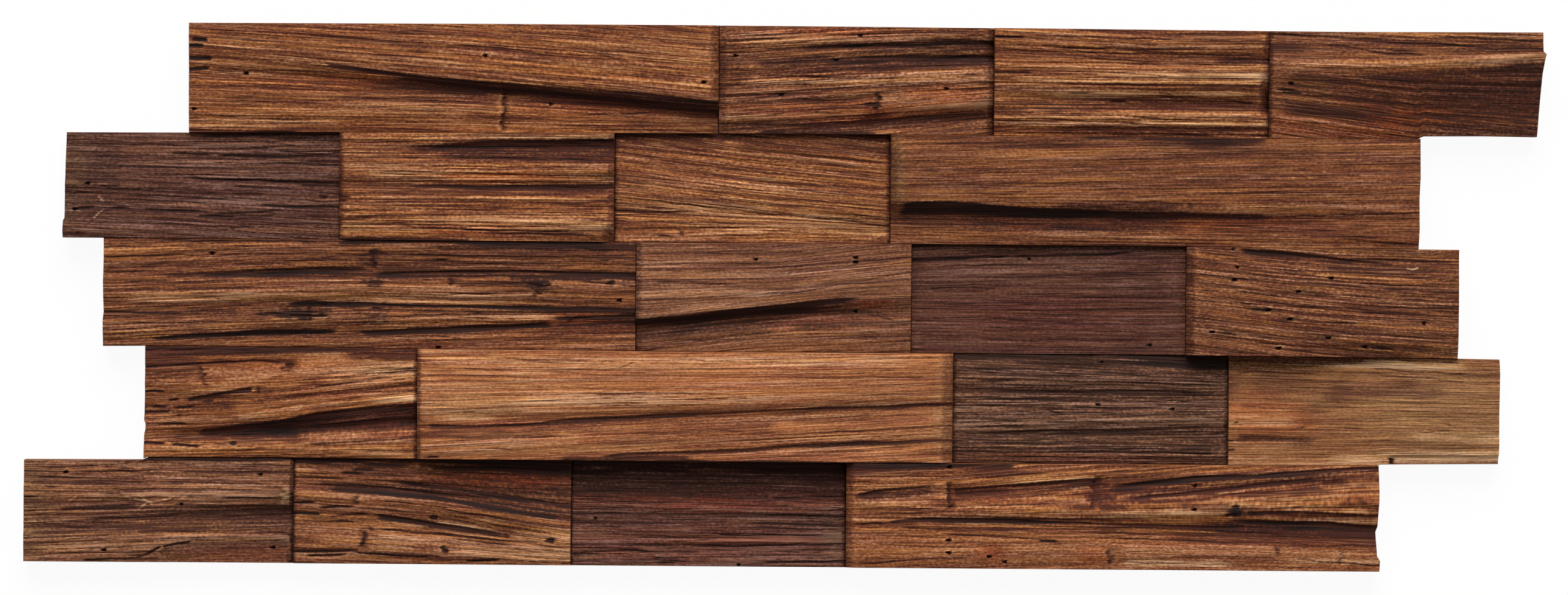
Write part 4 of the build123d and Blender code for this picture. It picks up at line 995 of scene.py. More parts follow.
def split_row_5_block_1(face):
    face.hollow([(54, 20.2), (70, 21.2), (84, 21.8), (101, 21.6)], (0.3, 0.8, 1.0), 0.9, (2.4, 4.4, 4.8),
                0.72, 16)
    face.shade([(36, 18), (70, 18.8), (101, 18.6)], 3.2, 4.4, 0.55, 20)
    face.hollow([(10, 20.4), (30, 21.4), (46, 22.8)], 0.5, 0.7, 1.2, 0.75, 8)
    face.hollow([(20, 16.6), (46, 17.2), (62, 18.4)], 0.5, 0.8, 1.3, 0.7, 10)
    face.cracks(0.8, 0.6, 0.9, 6, [(18, 35.5), (46, 35.3)], [(56, 35.4), (101, 35.2)],
                [(72, 25.2), (98, 25.6)], [(0, 25.5), (8, 25.3)], [(2, 33.2), (22, 32.8)],
                [(5, 29.4), (16, 29.6)], [(55, 22.6), (72, 22.4)], [(10, 16), (44, 15.2)],
                [(12, 13.6), (52, 13.4)], [(40, 11.2), (66, 12.4)])
    face.cracks(0.55, 0.4, 0.6, 8, [(4, 37), (30, 37.2)], [(8, 31), (30, 31)], [(6, 27.4), (36, 27.6)],
                [(0, 22.8), (16, 23)], [(0, 18.4), (14, 18.8)], [(0, 9.4), (16, 9.8), (36, 10)],
                [(50, 31.4), (96, 31)], [(60, 28.4), (92, 28.8)], [(50, 33.4), (80, 33.6)],
                [(60, 14.6), (98, 15.4)], [(50, 38), (98, 38)], [(20, 25), (40, 25.4)])
    face.crack([(22, 0.5), (42, 1.6), (47, 3.4), (52, 7.4)], (0.5, 1.0, 1.2), 1.2, 1.0, 2)
    face.plate([(51, -3), (58, -3), (99.4, -3)], [(51, 4.6), (58, 8.0), (99.4, 8.6)], -1.1, 3, 0.6, 0.92, 0.0)
    face.crack([(52, 5.6), (58, 7.6), (63, 8.6)], 0.9, 0.8, 0.95, 1)
    face.crack([(62, 8.8), (80, 8.8), (99, 9)], 0.6, 0.4, 0.6, 3)
    face.pale_band([(48, 7.6), (52, 8.6), (64, 9.6)], 0.6, 0.6, 0.8, 2)
    face.pale_band([(12, 6.6), (40, 7.6)], 2.4, 3, 0.3, 8)
    face.crest([(50, 10.4), (62, 10.6), (99, 10.6)], 0.4, 1.2, 1.0, 0.55, 4)
    face.redden(80, 4, 30, 6, 0.5)
    face.redden(2, 20, 12, 30, -0.6)
    face.dark_spot(9, 20, 6, 24, 0.2)
    face.straw((36.4, 27.6), (39.2, 25.4), pale_and_highlight=1.0)
    face.straw((38, 25.6), (40.6, 24.4), pale_and_highlight=1.0)
    face.straw((41.6, 24.8), (44.6, 24.2), (48, 23.4))
    face.straw((43.4, 21), (46.6, 23.4), (48.4, 22.6), pale_and_highlight=1.15)
    face.straw((43, 26.4), (46, 24), pale_and_highlight=1.15)
    face.straw((48, 23.4), (53, 24.2), (56, 25.4), pale_and_highlight=0.9)
    face.straw((59.6, 25), (62.6, 27), pale_and_highlight=1.0)
    face.straw((17, 23.6), (19.4, 25.2), pale_and_highlight=0.9)
    face.straw((45.6, 33.8), (48.2, 35.2), pale_and_highlight=1.0)
    face.tear(46, 33, 36.4, 0.5, 6, 0.5)
    face.tear(63, 24.6, 26.6, 0.6, -8, 0.5)
    face.plate([(96, 22.6), (100.4, 22.6)], [(96, 29.4), (100.4, 29.4)], 0.9, 1.6, 0.6, 0.9, 0.6)
    face.redden(98, 26, 4, 5, -1.0)
    face.pale_band([(20, 28.6), (60, 29.6), (96, 29)], 2.4, 3, 0.25)
    # Painted shadow along the top edge, cast by the row above
    face.shade([(42, 40), (70, 40), (101, 40)], 1, 1.2, 0.9, 4)
    face.pits(0.55, 1.4, (15.8, 35.1), (59.2, 22.6), (30.3, 4.7), (88.7, 34.4), (93.4, 6.1))
    face.worn_right(1.4, 0.9, stain_and_shade=0.6)
    face.tone_and_lighting_streaks((0, 28.8, 14, 28.8, 1.8, -0.4), (3, 36.6, 14, 36.6, 1.6, 0.35),
               (12, 32.8, 50, 32.6, 1.6, -0.3), (40, 39.6, 56, 39.6, 1.4, -0.5), (60, 38, 96, 38, 1.4, 0.45),
               (20, 25, 98, 27.6, 1.8, 0.35), (2, 12, 74, 14.4, 1.8, -0.5), (70, 12.2, 101, 12.2, 1.6, -0.3),
               (2, 4.4, 101, 8.6, 1.8, 0.5))
    face.fibres(0.24, 0.13, 0.5, 0.0, 0.08, 1.6)


def split_row_5_block_2(face):
    groove = [(6, 30.6), (20, 29.8), (32, 28), (50, 25.6), (75, 21.2), (101, 17.8)]
    face.hollow(groove, (0.5, 1.2, 1.4, 1.2), (1.4, 3.4, 5.6, 6.4), 0.7, 0.5, 6)
    face.cracks(1.0, 0.5, 1.0, 10, [(12, 31.4), (40, 29), (70, 24.6), (101, 20)],
                [(34, 31.6), (60, 29.4), (101, 23)])
    face.shade([(30, 31), (60, 29.6), (101, 26)], (2, 4, 6), (2, 3, 4), 0.55, 12)
    face.shade([(40, 34), (101, 33)], 3, 4, 0.4, 18)
    face.redden(76, 33, 34, 5, 1.0)
    # Painted shadow along the top edge, cast by the row above
    face.shade([(0, 40), (36, 40), (64, 40), (101, 40)], 1, (1.6, 2.2, 3.8, 5.8), 1.0, 2)
    face.crest([(0, 27.2), (20, 26.4), (50, 23.4), (80, 18.2), (101, 15.4)], 0.3, 2.4, 2.6, 0.0)
    face.hollow([(29, 19.4), (45, 16.9), (60, 14.6), (77, 11.6)], (0.8, 1.0, 0.6), 0.6, 1.5, 0.95, 4)
    face.cracks(1.1, 0.9, 1.0, 2.5, [(0, 23.7), (9, 23.8)], [(9, 21.6), (16, 22.6), (23, 22.2)],
                [(12, 18.2), (28, 20)], [(16, 35.2), (26, 35)], [(20, 36.2), (30, 36.4)],
                [(0, 19.4), (11, 19.2)], [(0, 4.6), (24, 5.2)], [(4, 3.2), (20, 3.4)], [(62, 1.6), (76, 2.2)],
                [(22, 4.2), (50, 3)])
    face.plate([(0, 6), (24.4, 6)], [(0, 15.6), (24.4, 14)], 0.7, 1, 0.7, 0.75, 0.4)
    face.plate([(27, 5.2), (40, 4.4), (56, 3.8)], [(27, 12.8), (40, 11.4), (56, 7.4)], 0.55, 1.4, 0.9, 0.7,
               0.5)
    face.tear(25, 6, 13.4, 0.8, 4, 1.0)
    face.tear(24, 22.5, 27.2, 0.6, -6, 0.8)
    face.tear(29, 12.6, 15, 0.6, -4, 0.9)
    face.cracks(0.7, 0.6, 0.8, 6, [(30, 13.6), (60, 11), (92, 8.4)], [(56, 10.4), (82, 7.2)],
                [(52, 19.8), (80, 14.6), (98, 11.6)], [(50, 22.4), (84, 16.6)], [(2, 29), (24, 28.4)],
                [(0, 33.4), (20, 33)], [(30, 24.8), (60, 21.6)], [(2, 16.8), (24, 16.4)])
    face.knot(55, 5.8, 1.4, 1.8, 0.7, 0.85)
    face.knot(77, 11.2, 1.6, 0.9, 0.6, 0.8)
    face.knot(51, 18.3, 1.4, 0.9, 0.6, 0.8)
    face.knot(93.6, 9.6, 1.6, 1.0, 0.6, 0.9)
    face.pale_spot(76.6, 11.2, 0.9, 0.6, 0.9)
    face.pale_spot(82, 10.7, 1.6, 0.8, 0.9)
    face.pale_band([(0, 36), (30, 34)], 3, 3, 0.35, 14)
    face.pale_band([(58, 10), (101, 6)], 3, 4, 0.35, 10)
    face.worn_left(1.2, 0.8, stain_and_shade=0.5)
    face.cracks(2.2, 0.4, 1.1, 8, [(10, 29.4), (30, 28), (52, 25.8), (75, 21.9), (99, 18.6)],
                [(36, 31.6), (60, 29), (80, 25.4), (101, 22.6)])
    face.shade([(10, 29.4), (30, 27.9), (52, 25.6), (75, 21.6), (99, 18.3)], 1.6, 0.9, 1.0, 8)
    face.pale_band([(74, 3.2), (101, 3)], 1.6, 1.6, 0.5, 8)
    face.tone_and_lighting_streaks((16, 17.4, 80, 14, 1.8, 0.3), (28, 12, 70, 9, 1.6, 0.3), (76, 3.6, 101, 3.6, 1.8, 0.4),
               (2, 36.4, 50, 36, 2.6, -0.4), (48, 24.6, 90, 17.6, 1.6, -0.25), (0, 18.8, 20, 16.8, 1.4, 0.4),
               (28, 14, 80, 16.4, 1.8, 0.4), (0, 9.4, 14, 9.4, 1.6, -0.4), (0, 3.6, 36, 3.8, 1.6, 0.5),
               (40, 6, 56, 6, 1.6, -0.35), (55, 5.2, 101, 5.2, 2, 0.5), (76, 11.6, 101, 11.6, 3.2, 0.7))
    face.fibres(0.26, 0.13, 0.5, 0.25, 0.2, 1.3)


def split_row_5_block_3(face):
    # Painted shadow along the top edge, cast by the long block above, fading down the face
    face.shade([(0, 40), (60, 40), (101, 40)], 1, (9, 8.4, 5.4), 0.7, 10)
    face.shade([(0, 32), (50, 31), (101, 34)], 3, 4.4, 0.62, 10)
    face.redden(50, 26, 70, 7, 1.0)
    face.redden(50, 9, 70, 10, 0.6)
    face.crack([(44, 29), (58, 28.7), (71.6, 27.4)], (0.6, 1.1), 1.0, 1.0, 5)
    face.tear(72, 26, 28.8, 0.6, -3, 0.9)
    face.tear(43.4, 25.4, 30, 0.5, -5, 0.7)
    face.cracks(0.9, 0.7, 0.95, 4, [(72, 26.9), (86, 27)], [(84, 27.3), (101, 27.2)],
                [(64, 16.9), (84, 16.6), (101, 16.2)], [(70, 20.2), (101, 19.8)],
                [(20, 8), (50, 7.8), (101, 9)], [(70, 1.8), (101, 2.4)])
    face.cracks(0.6, 0.45, 0.7, 7, [(24, 28.6), (42, 27.8)], [(8, 22.6), (30, 22.2), (50, 22.2)],
                [(72, 23.4), (84, 24)], [(0, 20), (60, 20.2)], [(10, 12.2), (30, 11.8), (42, 11)],
                [(18, 6.2), (32, 5.6)], [(28, 1.2), (42, 1.2)], [(60, 15.2), (90, 14.8)],
                [(70, 6.4), (88, 6)], [(8, 15.6), (22, 15.2)], [(20, 18), (60, 17.6)],
                [(50, 12.6), (96, 12.4)], [(4, 25), (40, 24.6)], [(50, 5), (98, 4.4)])
    face.pale_band([(8, 24), (101, 23)], 1.6, 1.6, 0.3)
    face.pale_band([(0, 13), (101, 13)], 3, 3, 0.2)
    face.pale_spot(96, 5, 4, 2.4, 0.6)
    face.pale_spot(96, 23, 4.4, 3.4, 0.5)
    face.redden(96, 14, 6, 14, -0.5)
    face.pits(0.5, 1.2, (9, 18.3), (61.8, 0.7))
    face.worn_left(0.9, 0.5, stain_and_shade=0.4)
    face.worn_right(1.2, 0.7, stain_and_shade=0.4)
    # More painted shadow along the top edge
    face.shade([(0, 40), (60, 40), (101, 40)], 1, (6, 5.4, 3.8), 0.88, 10)
    face.tone_and_lighting_streaks((0, 6.4, 101, 6, 2.2, 0.25), (40, 10.6, 101, 10.6, 1.8, 0.25), (0, 27.8, 101, 27, 1.8, -0.2),
               (10, 15.8, 80, 15.8, 1.4, -0.15), (0, 11, 101, 11.2, 1.8, 0.5),
               (60, 11.2, 101, 11.2, 1.6, 0.2), (20, 8, 90, 8, 3.0, 0.3))
    face.fibres(0.17, 0.13, 0.55, stretch=1.6)


def split_row_5_long_block(face):
    face.right_end((0, 1.6), (4, 1.8), (6, 0.6), (15, 0.3), (17, 1.0), (30, 1.3), (40, 1.0))
    face.hollow([(1, 27.8), (10, 29.4), (20, 30.8), (34, 31.8)], (1.0, 1.0, 0.4), 0.6, (1.8, 1.6, 1.0), 0.95,
                6)
    face.plate([(3, 23.4), (20, 24), (37.6, 22.6)], [(3, 27), (20, 29), (37.6, 34)], 0.5, 4, 0.7, 0.3, 0.25)
    face.tear(37.8, 22.6, 34, 1.1, 9, 0.8)
    face.hollow([(38.5, 30.2), (55, 31.4), (72, 33.2), (96, 35.4)], (0.8, 0.8, 0.4), 0.7, (4.6, 3.8, 2.4),
                0.78, 3)
    face.redden(56, 30, 24, 4, 0.4)
    face.plate([(40, 22), (60, 21.4), (91, 22.6)], [(40, 26.4), (60, 29.4), (91, 35)], 0.5, 6, 2.4, 0.3, 0.3)
    face.tear(90.6, 23, 36.6, 1.1, 12, 0.7, 0.12)
    face.dark_spot(95, 28.6, 6.5, 6.5, 0.7)
    face.redden(94, 29, 8, 9, 0.5)
    face.hollow([(94, 31.6), (110, 33.8), (130, 35.8), (150, 36.4), (197, 39)], (1.2, 1.0, 0.6), 0.7,
                (2.2, 1.8, 1.0), 1.0, 14)
    face.hollow([(98, 26.4), (112, 28.6), (124, 29.8), (152, 33.2), (184, 36.4)], (0.8, 0.7, 0.4), 0.7, 1.3,
                0.9, 16)
    face.crack([(111, 25.8), (130, 27.6), (160, 31.6), (197, 35)], 0.7, 0.5, 0.7, 6)
    face.tear(112.6, 25, 28, 0.5, -5, 0.7)
    face.shade([(100, 29.6), (150, 34.4), (192, 37.4)], 2.2, 2.4, 0.6, 14)
    face.shade([(2, 27), (18, 29.4), (36, 31.6)], 1.6, 2.4, 0.7, 6)
    face.redden(145, 24, 9, 4, -1.0)
    face.dark_spot(145, 23.6, 4.6, 2.4, 0.45)
    face.dark_spot(144.4, 23.4, 2.6, 2.4, 1.1)
    face.cracks(1.0, 1.2, 1.0, 1, [(140.6, 21.8), (145.6, 22)], [(142.6, 24.8), (146.4, 25)])
    face.pale_spot(150.4, 24.4, 2.4, 1.2, 0.4)
    face.hollow([(146, 22.4), (166, 22.6), (186, 21.4), (197, 21)], (0.6, 0.8), 0.7, 1.3, 0.9, 6)
    face.hollow([(138, 19.2), (156, 19.2), (174, 18.4), (197, 16.8)], (0.4, 1.1, 1.5), 0.9, (1.6, 4.4, 6.2),
                0.95, 14)
    face.hollow([(14, 18), (30, 19.4), (60, 19), (90, 17.8), (112, 17), (150, 16.4)], (0.4, 0.7, 0.8, 0.6),
                0.7, (1.0, 1.4, 1.2), 0.92, 6)
    face.shade([(122, 17.4), (160, 16.4), (197, 14.6)], (1, 3.4, 4), (1.6, 5, 6), 0.72, 26)
    face.calm_band([(0, 6), (100, 6), (197, 5)], 9, 9, 0.85)
    face.pale_band([(0, 6), (100, 6), (197, 5)], 5, 6, 0.2)
    face.calm_band([(40, 25), (92, 29)], 4, 4, 0.4)
    face.redden(178, 14, 24, 6, 0.6)
    face.cracks(0.7, 0.5, 0.8, 5, [(2, 17.2), (16, 17.4)], [(34, 13.6), (60, 12.4), (80, 11)],
                [(20, 20.8), (60, 20.2), (90, 19)], [(98, 12.4), (150, 10.6), (197, 9.6)],
                [(2, 1), (20, 3), (48, 4.4)], [(165, 4.6), (197, 2.4)], [(20, 15.6), (70, 15.4)],
                [(90, 14.4), (140, 13.2)])
    face.crack([(71, 11), (79.4, 10.8)], 1.1, 0.9, 1.0, 2)
    face.cracks(0.55, 0.4, 0.55, 10, [(98, 6.6), (130, 8)], [(4, 9), (50, 8.4)], [(4, 21), (34, 21.4)],
                [(46, 24.4), (86, 25.4)], [(50, 27), (84, 29.4)], [(104, 23.4), (138, 25)],
                [(4, 35.4), (34, 36)], [(44, 35), (80, 37.6)], [(4, 12), (32, 12.6)], [(100, 3), (150, 2.4)],
                [(150, 27.4), (192, 30.6)])
    face.redden(53, 5.4, 8, 5, 0.5)
    face.redden(92, 5.4, 7, 5, 0.5)
    face.crest([(47, 5.6), (58, 5.6)], 0.4, 3, 3, 0.0, 5)
    face.crest([(86, 5.6), (98, 5.6)], 0.4, 3.4, 3.4, 0.0, 5)
    face.tear(97.6, 1.6, 8.6, 0.7, 8, 0.8)
    face.pale_spot(97.4, 6.6, 2.2, 1.4, 0.7)
    face.plate([(100, 4.2), (130, 5.4), (159.6, 5.6)], [(100, 9.4), (130, 9.6), (159.6, 10)], 0.5, 4, 1.2,
               0.3, 0.35)
    face.tear(160, 5.6, 10, 0.5, 6, 0.9)
    face.tear(183, 2, 9, 0.6, 6, 0.6)
    face.pale_spot(184, 6, 4, 3, 0.6)
    face.pits(0.55, 1.4, (38.2, 11), (38.3, 6.2), (59.2, 2.8), (38.4, 38.8), (129.4, 23.6), (129.6, 32.8),
              (53.2, 4.8))
    face.pale_band([(100, 22.6), (140, 26), (190, 29)], 2.2, 3, 0.35, 8)
    face.worn_left(3.2, 1.3, stain_and_shade=0.3)
    # Painted shadow along the top edge, cast by the block above
    face.shade([(0, 40), (20, 40), (64, 40)], 1, (2.8, 2.0, 1.0), 1.0, 6)
    face.dark_spot(38.6, 26.4, 2.2, 4, 0.75)
    face.crest([(88, 21.8), (146, 21.8)], 0.35, 3, 1.2, 0.0, 12)
    face.shade([(168, 14.8), (197, 13.6)], 3, 3.4, 0.85, 14)
    face.dark_spot(38, 27.6, 1.1, 5.6, 1.0)
    face.tone_and_lighting_streaks((140, 30, 197, 33.4, 1.4, -0.35), (182, 14, 197, 14, 4, -0.35), (95, 38, 136, 38, 1.4, -0.25),
               (100, 2.6, 150, 2.6, 2, 0.25), (116, 22.8, 142, 22.8, 1.4, 0.4),
               (158, 24.2, 197, 24, 1.4, 0.4), (38, 26.4, 90, 25.4, 1.4, -0.3), (0, 37.8, 66, 38, 2.2, -0.6),
               (0, 35.6, 16, 35.6, 2.4, -0.5), (56, 33.6, 97, 35.6, 1.4, 0.5), (32, 25.4, 42, 25.4, 2, -0.5),
               (38, 28.2, 97, 31, 1.6, -0.5), (82, 24.2, 93, 24.2, 2, -0.5), (94, 35.8, 124, 35.8, 1.8, -0.5),
               (90, 25.7, 146, 25.7, 2, -0.6), (142, 29, 182, 31.6, 1.6, -0.65),
               (38, 18.4, 92, 18.4, 1.6, 0.4), (90, 21.2, 145, 21.2, 1.4, 0.5),
               (156, 18.8, 197, 18.8, 1.4, 0.45), (176, 27.8, 197, 26, 1.6, -0.5),
               (118, 12.6, 197, 10.4, 2, -0.4), (100, 2.6, 146, 2.6, 2.2, 0.65),
               (160, 3.6, 197, 3.6, 1.6, 0.35), (24, 5.5, 36, 5.5, 1.4, 0.35), (48, 6.4, 63, 6.4, 2, -0.4),
               (3, 6.4, 12, 6.4, 1.6, -0.35), (28, 25.4, 42, 25.4, 1.6, -0.5),
               (78, 24.4, 96, 24.8, 1.6, -0.5), (70, 28.4, 95, 33, 1.4, 0.4), (182, 13, 197, 13, 3.0, -0.4),
               (45, 36, 75, 36.4, 1.4, -0.4))
    face.fibres(0.24, 0.14, 0.5, 0.1, 0.08, 1.6)


# How each block was split: its relief, the run of its grain where that isn't straight, and its tones.
# Grain lines go from the left end to the right end, in millimetres from the block's lower left corner.

SPLITS = {
    "row_1_long_block": (split_row_1_long_block, "russet", 0.9, [
        [(0, 5), (197, 3)], [(0, 17), (100, 14), (197, 8)], [(0, 29), (100, 20), (197, 11)],
        [(0, 38), (100, 33), (197, 26)]]),
    "row_1_block_2": (split_row_1_block_2, "walnut", 1.0, [
        [(0, 1), (50, 4), (101, 9)], [(0, 14), (50, 17), (101, 20)], [(0, 31), (58, 34.5), (101, 36)]]),
    "row_1_block_3": (split_row_1_block_3, "russet", 1.0, [
        [(0, 8), (101, 8)], [(0, 24), (101, 24)], [(0, 32), (60, 29.5), (101, 30)]]),
    "row_1_block_4": (split_row_1_block_4, "walnut", 0.9, [
        [(0, 12), (60, 4), (101, 0)], [(0, 24), (60, 19), (101, 18)], [(0, 30), (60, 30), (101, 31)],
        [(0, 40), (101, 37)]]),
    "row_2_block_1": (split_row_2_block_1, "plum", 0.9, [
        [(0, 12), (50, 10), (101, 7)], [(0, 24), (101, 22)], [(0, 34), (101, 33)]]),
    "row_2_block_2": (split_row_2_block_2, "russet", 1.0, []),
    "row_2_block_3": (split_row_2_block_3, "russet", 1.0, [
        [(0, 5), (60, 6), (101, 5)], [(0, 17), (50, 12), (101, 8)], [(0, 38), (50, 32), (101, 27)]]),
    "row_2_long_block": (split_row_2_long_block, "walnut", 0.7, [
        [(0, 6), (197, 5)], [(0, 13), (100, 13), (197, 14)], [(0, 25), (100, 28), (197, 30)]]),
    "row_3_long_block": (split_row_3_long_block, "walnut", 0.8, [
        [(0, 2), (60, 5), (197, 10)], [(0, 13), (100, 17), (197, 15)], [(0, 25), (60, 28), (197, 28.5)]]),
    "row_3_block_2": (split_row_3_block_2, "rose", 0.7, [
        [(0, 2), (50, 7), (101, 9)], [(0, 11), (40, 15.5), (80, 19.2), (101, 20)],
        [(0, 25), (50, 26), (101, 31)]]),
    "row_3_block_3": (split_row_3_block_3, "plum", 0.6, [
        [(0, 5), (101, 5)], [(0, 24), (101, 25)], [(0, 34), (50, 36), (101, 37)]]),
    "row_3_block_4": (split_row_3_block_4, "walnut", 0.9, [
        [(0, 10), (40, 5.6), (101, 1.5)], [(0, 28), (40, 24), (70, 21.8), (101, 21)],
        [(0, 40), (50, 36), (101, 35)]]),
    "row_4_block_1": (split_row_4_block_1, "russet", 0.72, [
        [(0, 3), (101, 5)], [(0, 8), (50, 11), (101, 16)], [(0, 20), (50, 22), (101, 27)],
        [(0, 33), (50, 35), (101, 37)]]),
    "row_4_long_block": (split_row_4_long_block, "honey", 0.6, [
        [(0, -4), (100, 3.4), (197, 9.4)], [(0, 12), (100, 17), (197, 22)], [(0, 30), (100, 31), (197, 33)]]),
    "row_4_block_3": (split_row_4_block_3, "umber", 1.0, [
        [(0, 5), (101, 5)], [(0, 12), (101, 14)], [(0, 26), (101, 26)], [(0, 35.5), (101, 32)]]),
    "row_4_block_4": (split_row_4_block_4, "olive", 0.48, [
        [(0, 5), (101, 5)], [(0, 34), (101, 32)]]),
    "row_5_block_1": (split_row_5_block_1, "rose", 0.9, [
        [(0, 6), (101, 10)], [(0, 16), (50, 18), (101, 20)], [(0, 30), (101, 29)]]),
    "row_5_block_2": (split_row_5_block_2, "walnut", 0.75, [
        [(0, 6), (50, 4), (101, 2)], [(0, 20), (50, 16.5), (101, 9)], [(0, 30), (50, 26.5), (101, 20)],
        [(0, 37), (101, 34)]]),
    "row_5_block_3": (split_row_5_block_3, "plum", 0.9, [
        [(0, 8), (101, 9)], [(0, 24), (101, 23)]]),
    "row_5_long_block": (split_row_5_long_block, "russet", 0.9, [
        [(0, 3), (100, 6), (197, 4)], [(0, 18), (100, 17), (197, 13.5)],
        [(0, 26), (40, 27), (100, 32), (197, 38)]]),
}


# Wood finishes

def tone(red, green, blue):
    """A colour on screen, from 0 to 255, as the light it stands for."""
    shares = [value / 255 for value in (red, green, blue)]
    return tuple(s / 12.92 if s <= 0.04045 else ((s + 0.055) / 1.055) ** 2.4 for s in shares) + (1.0,)


# The black of painted shade and painted shadow: cast shadows, and the depths of cracks, pits and hollows
SHADE_BLACK = tone(40, 31, 29)
STRAW = tone(196, 176, 142)
RED_HEART = tone(178, 70, 40)
OLIVE_GREY = tone(122, 96, 64)
WOODS = {
    "honey": {"pale_and_highlight": tone(244, 200, 156), "light": tone(214, 162, 124), "amber": tone(218, 152, 96),
              "middle": tone(173, 108, 63), "red": tone(160, 92, 62), "dark": tone(98, 55, 39)},
    "olive": {"pale_and_highlight": tone(236, 198, 158), "light": tone(200, 156, 119), "amber": tone(198, 144, 92),
              "middle": tone(152, 102, 61), "red": tone(143, 89, 59), "dark": tone(92, 55, 40)},
    "russet": {"pale_and_highlight": tone(246, 194, 146), "light": tone(194, 139, 100), "amber": tone(197, 133, 77),
               "middle": tone(148, 87, 48), "red": tone(135, 75, 50), "dark": tone(78, 42, 33)},
    "walnut": {"pale_and_highlight": tone(240, 184, 138), "light": tone(182, 128, 95), "amber": tone(182, 119, 68),
               "middle": tone(129, 76, 45), "red": tone(118, 66, 48), "dark": tone(66, 38, 31)},
    "rose": {"pale_and_highlight": tone(212, 160, 126), "light": tone(182, 135, 109), "amber": tone(180, 122, 79),
             "middle": tone(132, 85, 55), "red": tone(123, 75, 58), "dark": tone(69, 41, 33)},
    "umber": {"pale_and_highlight": tone(194, 152, 126), "light": tone(153, 115, 96), "amber": tone(150, 105, 75),
              "middle": tone(103, 67, 48), "red": tone(97, 62, 51), "dark": tone(57, 37, 30)},
    "plum": {"pale_and_highlight": tone(150, 110, 94), "light": tone(138, 103, 90), "amber": tone(136, 92, 69),
             "middle": tone(94, 58, 43), "red": tone(91, 54, 47), "dark": tone(53, 32, 28)},
}


class Value:
    """A number that varies over a surface: a socket of a finish, with the arithmetic of numbers."""

    def __init__(self, finish, socket):
        self.finish, self.socket = finish, socket

    def math(self, operation, first, second):
        return self.finish.node("ShaderNodeMath", {"operation": operation}, {0: first, 1: second})

    def __add__(self, other):
        return self.math("ADD", self, other)

    def __radd__(self, other):
        return self.math("ADD", other, self)

    def __sub__(self, other):
        return self.math("SUBTRACT", self, other)

    def __rsub__(self, other):
        return self.math("SUBTRACT", other, self)

    def __mul__(self, other):
        return self.math("MULTIPLY", self, other)

    def __rmul__(self, other):
        return self.math("MULTIPLY", other, self)

    def size(self):
        """The value without its sign."""
        return self.math("ABSOLUTE", self, 0.0)

    def held(self):
        """The value held between 0 and 1."""
        return self.finish.node("ShaderNodeClamp", {}, {"Value": self})


class Finish:
    """A material in the making, with its nodes."""

    def __init__(self, name):
        self.material = bpy.data.materials.new(name)
        self.material.use_nodes = True
        self.tree = self.material.node_tree
        self.tree.nodes.clear()

    def node(self, kind, settings, sockets, output=0):
        """A node of a kind, with its settings and the values or links of its sockets. Gives one output."""
        made = self.tree.nodes.new(kind)
        for name, value in settings.items():
            setattr(made, name, value)
        for key, value in sockets.items():
            if isinstance(value, Value):
                self.tree.links.new(value.socket, made.inputs[key])
            else:
                made.inputs[key].default_value = value
        return Value(self, made.outputs[output]) if made.outputs else None

    def mix(self, share, first, second, blend="MIX"):
        """Two colours mixed: a share of the second."""
        settings = {"data_type": "RGBA", "blend_type": blend}
        return self.node("ShaderNodeMix", settings, {"Factor": share, 6: first, 7: second}, 2)

    def attribute(self, name):
        """A value stored on the piece's points."""
        return self.node("ShaderNodeAttribute", {"attribute_name": name}, {}, "Fac")

    def streaks(self, grain, long, wide, detail, seed, turn=0.0):
        """Noise drawn out along the grain, from 0 to 1, a streak about every `long` by `wide` millimetres."""
        place = self.node("ShaderNodeMapping", {}, {
            "Vector": grain, "Location": (seed, seed * 0.7, 0), "Rotation": (0, 0, turn),
            "Scale": (1 / long, 1 / wide, 1)})
        return self.node("ShaderNodeTexNoise", {"noise_dimensions": "2D"},
                         {"Vector": place, "Scale": 1.0, "Detail": detail, "Roughness": 0.6})


